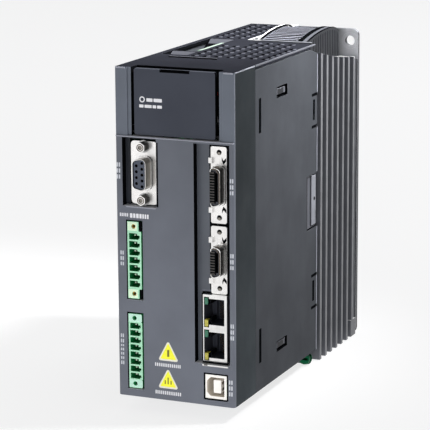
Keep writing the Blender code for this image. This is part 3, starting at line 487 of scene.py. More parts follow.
def piece(name, shape, finish, body="drive", bevel=0.0):
    """Turns a shape into a piece of the object that moves with a body."""
    bmesh.ops.recalc_face_normals(shape, faces=shape.faces[:])
    for corner in shape.verts:
        corner.co = CORNER + corner.co * MM
    mesh = bpy.data.meshes.new(name)
    shape.to_mesh(mesh)
    shape.free()
    mesh.materials.append(finish)
    obj = bpy.data.objects.new(name, mesh)
    scene.collection.objects.link(obj)
    soften(obj, bevel)
    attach(obj, body)
    return obj


def solid(name, add, parts, finish, bevel=0.0):
    """A piece made of one kind of solid: add is called with each part's own values."""
    shape = bmesh.new()
    for part in parts:
        add(shape, *part)
    piece(name, shape, finish, bevel=bevel)


def refine(node, finish, bevel, segments=2, areas=()):
    """Copies a CAD node with soft edges. areas pairs a finish with a rule on a face's centre and normal."""
    source = frame["nodes"][node]
    shape = bmesh.new()
    shape.from_mesh(source.data)
    bmesh.ops.remove_doubles(shape, verts=shape.verts[:], dist=0.00001)
    flat = math.radians(0.5)
    bmesh.ops.dissolve_limit(shape, angle_limit=flat, verts=shape.verts[:], edges=shape.edges[:])
    shape.normal_update()
    name = f"{node}_finished"
    mesh = bpy.data.meshes.new(name)
    mesh.materials.append(finish)
    for number, (other, rule) in enumerate(areas, 1):
        mesh.materials.append(other)
        for face in shape.faces:
            if rule((face.calc_center_median() - CORNER) / MM, face.normal):
                face.material_index = number
    shape.to_mesh(mesh)
    shape.free()
    obj = bpy.data.objects.new(name, mesh)
    scene.collection.objects.link(obj)
    soften(obj, bevel, segments)
    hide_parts(node)
    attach(obj, source["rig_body"])
    return obj


# ---- housing


def housing():
    _, high = span("front_shell")
    # The shell's faces are painted by their facing: a darker grey on sides, back, top and bay floors as
    # painted shade, a pale ledge as painted highlight, and black walls in the cut-outs' gaps and the door bay
    # as painted shadow.
    refine("front_shell", SHELL, 0.4, 3, [
        (PILLAR, lambda c, n: c.z > LEDGE_HEIGHT and n.y < -0.5 and c.y < 2.0),
        (SIDE_IN_SHADE, lambda c, n: abs(n.x) > 0.99 and not 0.1 < c.x < high.x - 0.1),
        (SIDE_IN_SHADE, lambda c, n: c.y > 8.5),
        (UPPER_SHADE, lambda c, n: n.z > 0.9 and c.z > high.z - 0.1),
        (SATIN_AND_SHADOW, lambda c, n: abs(n.x) > 0.9 and c.y > 1.4 and 2.5 < c.x < high.x - 2.2),
        (UPWARD_HIGHLIGHT, lambda c, n: n.z > 0.9 and c.y < 8.5 and c.z < LEDGE_HEIGHT + 0.5),
        (ENCODER_FLOOR_SHADE, lambda c, n: n.y < -0.9 and 3.5 < c.y < 4.5 and c.x < 22.0),
        (RIGHT_FLOOR_SHADE, lambda c, n: n.y < -0.9 and 3.5 < c.y < 4.5 and c.x > 22.0),
        (SATIN_AND_SHADOW, lambda c, n: c.z > LEDGE_HEIGHT + 1.0 and n.y < -0.5 and c.y > 4.0),
    ])
    for side in ("left", "right"):
        # On the side covers, the inset faces take the paler grey as painted highlight and the slots' walls
        # are black as painted shadow.
        refine(f"{side}_side_cover", COVER, 0.2, 2, [
            (SLOPE_HIGHLIGHT, lambda c, n: n.x > 0.9 and 58.5 < c.x < 59.5),
            (SATIN_AND_SHADOW, lambda c, n: abs(n.x) < 0.5 and is_hole_wall(c)),
        ])
        # The black insulation sheets are partly real film and partly painted shade: they give the dark ground
        # behind the covers' slots.
        refine(f"{side}_insulation_sheet", SATIN_AND_SHADOW, 0.0)
    # On the top vent cover, the vents' walls and the rear slopes are black as painted shadow, and the front
    # slopes and the raised bar are pale as painted highlight.
    refine("top_vent_cover", UPPER_SHADE, 0.15, 2, [
        (SATIN_AND_SHADOW, lambda c, n: abs(n.z) < 0.5 and 0.5 < c.x < 57.0 or 0.6 < n.z < 0.97 and c.y > 80.0),
        (SLOPE_HIGHLIGHT, lambda c, n: 0.6 < n.z < 0.97 and c.y < 80.0),
        (SLOPE_HIGHLIGHT, lambda c, n: n.z > 0.9 and c.z > high.z + 0.3),
    ])
    vent_lips(high.z)
    # The crest before the power slot is in the paler grey: painted highlight.
    slope = [(101.8, 155.42), (105.0, 157.28), (106.4, 157.28)]
    slope += [(106.4, 157.0), (104.5, 156.6), (101.8, 155.1)]
    solid("slot_crest", add_prism, [(slope, "x", 3.4, 16.2)], SLOPE_HIGHLIGHT, bevel=0.08)
    slots = bmesh.new()
    outside = (high.x - 0.3, high.x + 0.03)
    for z in ((125.0, 141.4), (13.6, 30.4)):
        add_box(slots, outside, (30.0, 32.8), z)
    for z in ((119.7, 130.0), (26.9, 37.5)):
        add_box(slots, outside, (101.4, 104.0), z)
    for z in (132.4, 116.4, 40.2, 23.6):
        add_box(slots, outside, (99.8, 107.3), (z - 0.75, z + 0.75))
    add_box(slots, outside, (93.35, 93.8), (65.0, 92.3))
    piece("cover_slot_shadows", slots, SATIN_AND_SHADOW)
    solid("ear_plate", add_box, [
        ((59.0, 59.5), (101.2, 107.1), (66.2, 91.4)),
    ], EAR, bevel=0.1)
    # A black disc for the ear's hole: painted shadow.
    solid("ear_plate_hole_shade", add_prism, [
        (circle((105.0, 79.4), 1.0, 12), "x", 59.4, 59.54),
    ], SATIN_AND_SHADOW)
    # The catch tongues are in the paler grey: painted highlight.
    tongues = bmesh.new()
    for z in ((139.4, 142.4), (14.4, 17.4)):
        add_box(tongues, (58.9, 59.3), (54.6, 65.2), z)
    piece("catch_tongues", tongues, SLOPE_HIGHLIGHT, bevel=0.2)
    # Pale beads along the pillars' top edges and the ledge: painted highlights.
    rims = bmesh.new()
    for x in ((0.8, 5.2), (54.8, 59.2)):
        add_prism(rims, circle((0.3, high.z - 0.3), 0.36, 8), "x", *x)
    add_prism(rims, circle((0.2, LEDGE_HEIGHT - 0.2), 0.3, 8), "x", 0.4, 59.6)
    piece("painted_ledge_highlights", rims, PALE_EDGE_GLINT)
    # Pale beads along the shell's top right edge, the side cover's rear edge and the encoder bay's lower lip:
    # painted highlights.
    edges = bmesh.new()
    add_prism(edges, circle((high.x - 0.25, high.z - 0.25), 0.32, 8), "y", 1.7, 25.4)
    for z in ((-0.2, 22.9), (24.3, 39.5), (40.9, 64.5), (93.0, 115.7), (133.2, 152.0)):
        add_prism(edges, circle((high.x - 0.12, 107.25), 0.36, 8), "z", max(z[0], 0.2), z[1])
    add_box(edges, (5.4, 20.5), (-0.06, 0.4), (91.7, 92.15))
    piece("painted_edge_highlights", edges, PALE_EDGE_GLINT)
    # A pale bead along the side cover's top edge: painted highlight.
    solid("cover_top_painted_highlight", add_prism, [
        (circle((high.x - 0.28, high.z - 0.35), 0.48, 10), "y", 26.0, 104.0),
    ], SLOPE_HIGHLIGHT)
    # The bottom cover's upright faces are black: painted shadow.
    refine("bottom_cover", UPPER_SHADE, 0.15, 2, [(SATIN_AND_SHADOW, lambda c, n: abs(n.z) < 0.5)])
    refine("inner_frame", HOOD, 0.3)


def vent_lips(top):
    """Pale lips along the vents of the top cover: painted highlight round the vents."""
    lips = bmesh.new()
    grids = (
        ([20.5 + 6.0 * k for k in range(7)], [46.5 + 7.2 * k for k in range(6)]),
        ([32.5 + 6.0 * k for k in range(4)], [89.7, 96.9]),
        ([5.0, 11.0, 17.0], [112.0 + 7.2 * k for k in range(8)]),
    )
    for columns, rows in grids:
        for x in columns:
            for y in rows:
                lens = [(x + 0.95 + 0.95 * a, y + 0.1 + 1.4 * b) for a, b in circle((0.0, 0.0), 1.0, 12)]
                add_prism(lips, lens, "z", top - 0.3, top + 0.04)
    piece("vent_lips", lips, VENT_GLINT, bevel=0.05)


def is_hole_wall(centre):
    """True for the walls of the side covers' slots and catch windows."""
    return 28.0 < centre.y < 106.0 and 5.0 < centre.z < 150.0


# ---- door and keypad


def is_finger_notch(centre, normal):
    """True for the back and the floor of the notch in the door's top edge."""
    if not (centre.z > 155.0 and 22.0 < centre.x < 38.0):
        return False
    return normal.y < -0.5 and centre.y > 2.5 or normal.z > 0.5 and centre.z < 156.5


def door():
    # The door's sides, bottom and finger notch are black: painted shadow in the gaps round it.
    refine("display_door", DOOR, 0.3, 3, [
        (SATIN_AND_SHADOW, lambda c, n: n.x > 0.5 or n.x < -0.9 or n.z < -0.9),
        (SATIN_AND_SHADOW, is_finger_notch),
    ])
    low, high = span("display_door")
    face = low.y
    marks = bmesh.new()
    left, top = low.x + 2.6, low.z + 18.0
    depth = (face - 0.03, face + 0.05)
    ring = (left + 1.5, top - 1.4)
    add_band(marks, circle(ring, 1.4, 24), circle(ring, 0.85, 24), "y", *depth)
    for offset, width in ((3.7, 3.1), (7.3, 4.2)):
        bar = rounded_rect((left + offset, left + offset + width), (top - 2.3, top - 0.7), 0.3)
        add_prism(marks, bar, "y", *depth)
    for offset, width in ((0.0, 2.2), (2.7, 3.6), (6.8, 1.8), (9.1, 2.4)):
        bar = rounded_rect((left + offset, left + offset + width), (top - 5.2, top - 3.8), 0.25)
        add_prism(marks, bar, "y", *depth)
    piece("door_mark", marks, WHITE_INK, body="door")
    ribs = bmesh.new()
    outer = rounded_rect((low.x + 1.6, high.x - 1.6), (low.z + 3.2, high.z - 1.6), 0.8)
    inner = rounded_rect((low.x + 2.4, high.x - 2.4), (low.z + 4.0, high.z - 2.4), 0.8)
    add_band(ribs, outer, inner, "y", high.y - 0.1, high.y + 0.8)
    for share in (0.25, 0.5, 0.75):
        x = low.x + (high.x - low.x) * share
        add_box(ribs, (x - 0.3, x + 0.3), (high.y - 0.1, high.y + 0.6), (low.z + 4.2, high.z - 2.6))
    piece("door_ribs", ribs, DOOR, "door", 0.12)
    refine("door_hinge_pin", DARK_STEEL, 0.08)


# The six lit bars of a zero: left and right, then bottom and top.
ZERO = (
    ((0.6, 3.4), (7.4, 8.0)),
    ((3.4, 4.0), (4.5, 7.5)),
    ((3.4, 4.0), (0.5, 3.5)),
    ((0.6, 3.4), (0.0, 0.6)),
    ((0.0, 0.6), (0.5, 3.5)),
    ((0.0, 0.6), (4.5, 7.5)),
)


def keypad():
    refine("keypad_panel", SATIN_AND_SHADOW, 0.25)
    solid("keypad_seals", add_box, [
        ((8.1, 51.9), (8.9, 9.6), (125.5, 127.0)),
        ((8.1, 51.9), (8.9, 9.6), (154.6, 157.2)),
    ], SATIN_AND_SHADOW, bevel=0.1)
    refine("display_module", WINDOW, 0.2)
    refine("display_board", BOARD, 0.1)
    refine("charge_lamp", RED_LENS, 0.3)
    low, _ = span("display_module")
    digits = bmesh.new()
    for k in range(5):
        left = low.x + 2.4 + 5.4 * k
        for (x0, x1), (z0, z1) in ZERO:
            outline = rounded_rect((left + x0, left + x1), (low.z + 0.7 + z0, low.z + 0.7 + z1), 0.2, 2)
            add_prism(digits, outline, "y", low.y - 0.05, low.y + 0.1)
    piece("display_digits", digits, SEGMENT)
    symbols = bmesh.new()
    panel_low, _ = span("keypad_panel")
    for name in ("key_mode", "key_shift", "key_up", "key_down", "key_set"):
        refine(name, KEY, 0.35, 3)
        key_low, key_high = span(name)
        x, z = (key_low.x + key_high.x) / 2, key_high.z + 0.9
        turn = {"key_shift": math.pi, "key_up": math.pi / 2, "key_down": -math.pi / 2}.get(name)
        dot = circle((x, z), 0.5, 12)
        symbol = dot if turn is None else circle((x, z), 0.65, 3, turn)
        add_prism(symbols, symbol, "y", panel_low.y - 0.04, panel_low.y + 0.1)
    piece("keypad_symbols", symbols, WHITE_INK)


# ---- connectors


def encoder_port():
    # The shell's sides and top take darker copies of the nickel: painted shade and painted dark reflection.
    refine("encoder_port_shell", NICKEL, 0.2, 3, [
        (NICKEL_IN_SHADE, lambda c, n: (n.x > 0.4 or n.z > 0.4) and c.y < 1.5),
        (DARK_NICKEL, lambda c, n: n.x > 0.4 and 1.5 < c.y < 2.8),
    ])
    low, high = span("encoder_port_insert")
    # The insert's holes are black: painted shadow.
    refine("encoder_port_insert", INSERT, 0.2, 2, [
        (SATIN_AND_SHADOW, lambda c, n: abs(n.y) < 0.3 and c.y < 3.0),
        (SATIN_AND_SHADOW, lambda c, n: n.y < -0.9 and c.y > 3.0),
    ])
    edge_low, edge_high = span("encoder_port_shell")
    upright = (edge_low.z - 0.2, edge_high.z + 0.2)
    # A black strip in the gap right of the port: painted shadow.
    solid("encoder_cutout_edge", add_box, [
        ((edge_high.x + 0.85, edge_high.x + 1.7), GAP_DEPTH, upright),
    ], SATIN_AND_SHADOW)
    x, z = (low.x + high.x) / 2, (low.z + high.z) / 2
    contacts = bmesh.new()
    for offset, count in ((-1.42, 4), (1.42, 5)):
        for k in range(count):
            place = (x + offset, z + 2.77 * (k - (count - 1) / 2))
            add_band(contacts, circle(place, 0.66, 12), circle(place, 0.45, 12), "y", low.y + 2.2, 3.8)
    piece("encoder_contacts", contacts, BRASS)
    for end in ("upper", "lower"):
        node = f"encoder_post_{end}"
        # Each post is painted by facing: bright ends as painted highlight, a darker barrel and right side as
        # painted shade.
        refine(node, NICKEL_IN_SHADE, 0.25, 3, [
            (NICKEL, lambda c, n: n.y < -0.9 and c.y < 0.0),
            (DARK_NICKEL, lambda c, n: n.x > 0.4 and c.y < 2.0),
        ])
        low, high = span(node)
        centre = ((low.x + high.x) / 2, (low.z + high.z) / 2)
        threads = bmesh.new()
        for k in range(5):
            y = low.y + 0.35 + 0.5 * k
            add_band(threads, circle(centre, 1.12, 16), circle(centre, 0.92, 16), "y", y, y + 0.2)
        add_band(threads, circle(centre, 1.8, 24), circle(centre, 1.3, 24), "y", low.y - 0.06, low.y + 0.1)
        piece(f"encoder_post_thread_{end}", threads, BROWN_NICKEL, bevel=0.04)
        solid(f"encoder_post_plug_{end}", add_prism, [
            (circle(centre, 1.0, 16), "y", low.y + 0.45, 1.9),
        ], NICKEL_IN_SHADE, bevel=0.15)
        solid(f"encoder_post_washer_{end}", add_band, [
            (circle(centre, 3.0, 24), circle(centre, 1.5, 24), "y", 2.62, 2.88),
        ], STEEL, bevel=0.05)


def header_cells(node, pitch, count):
    """Contact pins and keying ribs in the cells of a terminal header on the front."""
    # The cells' walls and floors take the deep green: painted shade.
    refine(node, MINT, 0.15, 2, [
        (MINT_IN_SHADE, lambda c, n: c.y > 0.6 and abs(n.y) < 0.7 or c.y > 7.0),
    ])
    low, high = span(node)
    middle = (low.z + high.z) / 2
    reach = (pitch - 0.85) / 2
    pins = bmesh.new()
    ribs = bmesh.new()
    for k in range(count):
        z = middle + pitch * (k - (count - 1) / 2)
        pin = rounded_rect((low.x + 2.3, low.x + 3.1), (z - 0.3, z + 0.5), 0.15, 1)
        add_prism(pins, pin, "y", 2.4, 8.4)
        add_box(ribs, (high.x - 2.1, high.x - 0.7), (low.y + 0.15, 6.0), (z + reach - 0.95, z + reach + 0.1))
        add_box(ribs, (high.x - 1.5, high.x - 0.7), (low.y + 0.15, 6.0), (z - reach - 0.1, z - reach + 0.5))
    piece(f"{node}_pins", pins, PIN, bevel=0.08)
    piece(f"{node}_keys", ribs, MINT, bevel=0.1)


def header_nuts(node, flange, finish, plate_finish, notch_width):
    """Threaded bushes in the two end flanges of a header, which may be notched on the right."""
    low, high = span(node)
    bushes = bmesh.new()
    ends = bmesh.new()
    notch = bmesh.new()
    for z in (low.z + flange / 2, high.z - flange / 2):
        place = (low.x + 3.2, z)
        for k in range(4):
            y = 0.2 + 0.5 * k
            add_band(bushes, circle(place, 1.08, 16), circle(place, 0.8, 16), "y", y, y + 0.25)
        right = high.x - notch_width - 0.15
        plate = rounded_rect((low.x + 0.25, right), (z - flange / 2 + 0.25, z + flange / 2 - 0.25), 0.3)
        add_band(ends, plate, circle(place, 1.15, 20), "y", low.y - 0.03, low.y + 0.2)
        # A black box in each notch on the right: painted shadow.
        if notch_width:
            across = (high.x - notch_width, high.x - 0.02)
            add_box(notch, across, (low.y + 0.4, low.y + 1.4), (z - flange / 2, z + flange / 2 - 0.1))
    piece(f"{node}_bushes", bushes, finish, bevel=0.04)
    piece(f"{node}_end_plates", ends, plate_finish)
    if notch_width:
        piece(f"{node}_notch_shadows", notch, SATIN_AND_SHADOW)
    else:
        notch.free()


def ribbon_port(prefix):
    """Contact comb, latch eyes and stamped edges of a ribbon connector."""
    # The shell's top and right side take darker copies of the nickel: painted shade and painted dark
    # reflection.
    refine(f"{prefix}_port_shell", NICKEL, 0.15, 3, [
        (NICKEL_IN_SHADE, lambda c, n: n.z > 0.4 and c.x > 48.8 and c.y < 1.5),
        (DARK_NICKEL, lambda c, n: n.x > 0.4 and 50.0 < c.x < 55.0 and c.y < 2.6),
    ])
    node = f"{prefix}_port_insert"
    # The insert's slot walls and back are black: painted shadow.
    refine(node, FERRITE, 0.12, 2, [
        (SATIN_AND_SHADOW, lambda c, n: abs(n.y) < 0.3 and c.y < 3.0 or n.y < -0.9 and c.y > 3.0),
    ])
    low, high = span(node)
    middle = (low.z + high.z) / 2
    half = (high.z - low.z) / 2
    upright = (middle - half + 1.0, middle + half - 1.4)
    solid(f"{prefix}_comb_bed", add_box, [
        ((low.x - 0.85, low.x + 1.9), (low.y - 0.68, low.y + 0.4), upright),
    ], SATIN_AND_SHADOW, bevel=0.15)
    teeth = bmesh.new()
    count = int((2 * half - 3.2) / 1.27) + 1
    for k in range(count):
        z = middle - 0.2 + 1.27 * (k - (count - 1) / 2)
        add_box(teeth, (low.x - 0.8, low.x + 1.5), (low.y - 0.78, low.y), (z - 0.3, z + 0.3))
    piece(f"{prefix}_contacts", teeth, COMB, bevel=0.08)
    upright = (middle - half + 1.0, middle + half - 1.6)
    solid(f"{prefix}_rim", add_box, [
        ((high.x - 0.15, high.x + 0.72), (low.y - 0.66, low.y + 0.4), upright),
    ], BROWN_NICKEL, bevel=0.25)
    hem = bmesh.new()
    for reach, y in ((0.0, -0.1), (0.75, 0.9)):
        side, over, under = high.x + reach, high.z + 0.1 + reach, high.z - 0.45 + reach
        crown = [(side, high.z - 1.9), (side - 1.3, over), (low.x + 0.4, over)]
        crown += [(low.x + 0.4, under), (side - 1.5, under), (side - 0.45, high.z - 2.0)]
        add_prism(hem, crown, "y", low.y - 0.7 + y, low.y + y)
    piece(f"{prefix}_hem", hem, BROWN_NICKEL, bevel=0.12)
    low, high = span(f"{prefix}_port_shell")
    outer = rounded_rect((low.x - 0.5, 56.0), (low.z - 0.9, high.z + 0.9), 0.5)
    inner = rounded_rect((low.x + 1.4, 55.2), (low.z + 0.4, high.z - 0.4), 0.3)
    # A black band round the port on the bay floor: painted shadow.
    solid(f"{prefix}_cutout_edge", add_band, [
        (outer, inner, "y", *BAY_DEPTH),
    ], SATIN_AND_SHADOW)
    threads = bmesh.new()
    for end, way in ((low.z, 1), (high.z, -1)):
        add_prism(threads, circle((51.2, end + 2.7 * way - 0.75), 0.9, 16), "y", 3.0, 3.6)
    piece(f"{prefix}_screw_ends", threads, NICKEL_IN_SHADE, bevel=0.1)
    eyes = bmesh.new()
    front = 2.9
    for end, way in ((low.z, 1), (high.z, -1)):
        mark = ((52.7, 6.5), (53.5, 8.2), (54.9, 6.7))
        outer = [(x, end + way * z) for x, z in mark]
        inner = [(x, end + way * (z - 1.7)) for x, z in reversed(mark)]
        add_prism(eyes, outer + inner, "y", front - 0.04, front + 0.2)
    piece(f"{prefix}_latch_eyes", eyes, SATIN_AND_SHADOW)


def network_port():
    node = "network_port_block"
    low, high = span(node)
    inside = (lambda c, n: low.x + 0.3 < c.x < high.x - 0.3 and low.z + 0.3 < c.z < high.z - 0.3)
    refine(node, SCREEN, 0.3, 2, [(SOCKET, lambda c, n: c.y > low.y + 0.2 and inside(c, n))])
    for level in ("upper", "lower"):
        for lamp, lens, slot in (("link", GREEN_LENS, "led_green"), ("activity", YELLOW_LENS, "led_yellow")):
            # Each lamp's right side is black: painted shade.
            refine(f"{lamp}_lamp_{level}", lens, 0.55, 3, [(SATIN_AND_SHADOW, lambda c, n: n.x > 0.9)])
    contacts = bmesh.new()
    tabs = bmesh.new()
    for z in (45.05, 29.1):
        for k in range(8):
            at = z + 1.02 * (k - 3.5)
            outline = [(49.0, 0.0), (50.2, 0.0), (53.4, 0.0), (53.4, 0.35), (50.2, 0.35), (49.0, 0.35)]
            slanted = [(x, 3.0 + y + (53.4 - x) * 1.2) for x, y in outline]
            add_prism(contacts, slanted, "z", at - 0.17, at + 0.17)
        add_box(tabs, (46.7, 47.1), (3.0, 9.0), (z - 5.6, z - 3.4))
        add_box(tabs, (46.7, 47.1), (3.0, 9.0), (z + 3.4, z + 5.6))
    piece("network_contacts", contacts, BRASS)
    piece("network_key_ribs", tabs, SATIN_AND_SHADOW, bevel=0.1)
    outline = [(0.9, 18.9), (0.5, 18.7), (-0.6, 19.2), (-0.6, 19.9), (0.9, 20.3)]
    solid("network_screen_lip", add_prism, [
        (outline, "x", 43.65, 56.8),
    ], SCREEN, bevel=0.15)
    # Black strips in the gaps round the block: painted shadow.
    solid("network_gap_shadows", add_box, [
        ((44.6, 46.4), (-0.64, -0.5), (19.4, 19.8)),
        ((42.2, 43.9), BAY_DEPTH, (20.3, 53.9)),
        ((high.x - 0.1, high.x + 0.55), GAP_DEPTH, (low.z - 0.7, high.z + 0.4)),
        ((low.x, high.x), GAP_DEPTH, (low.z - 0.75, low.z - 0.1)),
        ((low.x - 0.6, low.x + 0.02), (low.y + 0.25, low.y + 2.0), (low.z - 0.1, high.z + 0.3)),
    ], SATIN_AND_SHADOW)
    solid("bay_floor_strip", add_box, [
        ((42.0, 46.9), (3.9, 4.5), (53.95, 54.9)),
    ], SHELL, bevel=0.05)


def usb_port():
    inside = (lambda c, n: c.y > 0.4 and 45.6 < c.x < 54.6 and 4.5 < c.z < 13.9)
    refine("usb_port_shell", USB_WHITE, 0.3, 3, [(USB_INNER_SHADE, inside)])
    refine("usb_port_tongue", USB_WHITE, 0.25, 3)
    low, high = span("usb_port_tongue")
    shell_low, shell_high = span("usb_port_shell")
    across = (shell_low.x, shell_high.x)
    upright = (shell_low.z, shell_high.z)
    outer = rounded_rect((across[0] - 0.5, across[1] + 0.6), (upright[0] - 0.6, upright[1] + 0.6), 0.4)
    inset = 0.05
    inner = [(bounds[0] + inset, bounds[1] - inset) for bounds in (across, upright)]
    inner = rounded_rect(*inner, 0.3)
    # A black band round the port: painted shadow.
    solid("usb_cutout_edge", add_band, [(outer, inner, "y", -0.03, 0.3)], SATIN_AND_SHADOW)
    contacts = bmesh.new()
    for x in (low.x - 0.12, high.x + 0.12):
        for z in (low.z + 1.6, high.z - 1.6):
            add_box(contacts, (x - 0.15, x + 0.15), (low.y + 1.2, 9.0), (z - 0.55, z + 0.55))
    piece("usb_contacts", contacts, BROWN_NICKEL, bevel=0.06)


def power_headers():
    # Below its mint top, the power header down in its slot is near-black green: painted shade.
    refine("power_input_header", MINT_IN_DEEP_SHADE, 0.2, 2, [(MINT, lambda c, n: c.z > 152.5)])
    refine("motor_output_header", MINT, 0.25, 2, [
        (MINT_IN_SHADE, lambda c, n: c.z > 1.8 and abs(n.z) < 0.7),
    ])
    blades = bmesh.new()
    walls = bmesh.new()
    low, _ = span("power_input_header")
    for k in range(6):
        y = low.y + 3.9 + 5.0 * k
        add_box(blades, (9.6, 10.4), (y - 1.2, y + 1.2), (146.6, 151.0))
        if k:
            add_box(walls, (6.0, 13.9), (y - 2.8, y - 2.2), (146.8, 151.6))
    low, _ = span("motor_output_header")
    for k in range(5):
        y = low.y + 5.0 + 7.5 * k
        add_box(blades, (9.6, 10.4), (y - 1.4, y + 1.4), (3.4, 10.4))
        if k:
            add_box(walls, (6.1, 13.9), (y - 4.0, y - 3.4), (1.8, 10.2))
    piece("power_blades", blades, PIN, bevel=0.15)
    solid("power_header_flange", add_box, [
        ((14.3, 16.2), (64.0, 93.0), (156.5, 157.35)),
    ], FLANGE_MINT, bevel=0.12)
    piece("power_cell_walls", walls, MINT_IN_DEEP_SHADE, bevel=0.1)


# ---- printed marks


def dash_row(shape, start, step, heights, thickness, upright, depth):
    """A row of short plain bars in place of a word, running right or, upright, in pairs down a side."""
    at = start[1] if upright else start[0]
    for length in heights:
        if upright:
            for left in (start[0], start[0] + thickness * 0.62):
                outline = rounded_rect((left, left + thickness * 0.38), (at - length, at), 0.15, 2)
                add_prism(shape, outline, "y", *depth)
            at -= length + step
        else:
            outline = rounded_rect((at, at + length), (start[1], start[1] + thickness), 0.2, 2)
            add_prism(shape, outline, "y", *depth)
            at += length + step


# Each row of marks: its start, the gap between marks, their lengths, and its thickness.
PORT_LABELS = (
    ((0.7, 112.6), 0.85, (2.0, 2.0, 2.0), 1.8),
    ((2.0, 70.6), 0.8, (1.9, 1.9, 1.7), 1.7),
    ((1.5, 30.2), 0.8, (1.8, 1.8, 1.0, 1.3, 1.3, 1.3, 1.8), 1.6),
    ((57.9, 108.9), 0.85, (2.0, 2.0, 1.8), 1.65),
    ((57.9, 73.8), 0.85, (2.0, 2.0, 1.8), 1.65),
    ((57.9, 40.4), 0.85, (2.0, 2.0, 2.0), 1.65),
    ((57.0, 13.3), 0.85, (2.0, 2.0, 2.0), 1.8),
)
FRONT_WORDS = (
    ((2.0, 87.1), 0.38, (0.55,) * 5, 1.7),
    ((7.2, 86.8), 0.4, (1.3, 1.1, 1.3, 1.1, 0.8, 0.8, 0.8), 2.1),
    ((19.2, 16.2), 0.42, (0.55,) * 14, 1.7),
    ((19.3, 2.6), 0.42, (0.55,) * 14, 1.8),
)


def printed_marks():
    for name, rows, upright, finish in (
        ("port_labels", PORT_LABELS, True, GREY_INK),
        ("front_words", FRONT_WORDS, False, WHITE_INK),
    ):
        marks = bmesh.new()
        for row in rows:
            dash_row(marks, *row, upright, MARK_DEPTH)
        piece(name, marks, finish)
    for name, centre, base in (("upper", 26.1, 19.3), ("lower", 25.9, 5.8)):
        for layer, finish, inset, front in (
            ("border", PALE_INK, 0.0, -0.03),
            ("field", YELLOW_INK, 0.85, -0.06),
        ):
            shape = bmesh.new()
            width, height = 10.4 - inset * 2.6, 9.6 - inset * 2.3
            foot = base + inset
            corners = ((centre - width / 2, foot), (centre + width / 2, foot), (centre, foot + height))
            outline = []
            radius = 0.8 - inset * 0.6
            for k, corner in enumerate(corners):
                inward = Vector((centre, base + height / 3)) - Vector(corner)
                middle = Vector(corner) + inward.normalized() * radius * 1.7
                first = math.radians((-210, -90, 30)[k])
                for step in range(5):
                    angle = first + math.radians(120) * step / 4
                    outline.append((middle.x + radius * math.cos(angle), middle.y + radius * math.sin(angle)))
            add_prism(shape, outline, "y", front, 0.08)
            piece(f"triangle_{name}_{layer}", shape, finish)
        sign = bmesh.new()
        bars = (0.0,) if name == "upper" else (-1.5, 0.0, 1.5)
        for offset in bars:
            wide = 0.55 if name == "upper" else 0.3
            across = (centre + offset - wide, centre + offset + wide)
            outline = rounded_rect(across, (base + 2.0, base + 5.4 - abs(offset)), 0.25, 2)
            add_prism(sign, outline, "y", -0.08, 0.08)
        piece(f"triangle_{name}_sign", sign, DARK_INK)


# ---- cooling


def fin_line(y):
    """Height of the fins' concave top line at a depth."""
    share = (y - 97.0) / 70.2
    return 156.0 - 13.0 * share - 7.6 * share * (1 - share)


def arch_line(y, low, high, peak=138.0):
    """Height of the fan hood's arched top line at a depth."""
    if y <= peak:
        return high.z - 3.6 * ((peak - y) / (peak - low.y)) ** 2
    return high.z - 3.4 * ((y - peak) / (high.y - peak)) ** 3


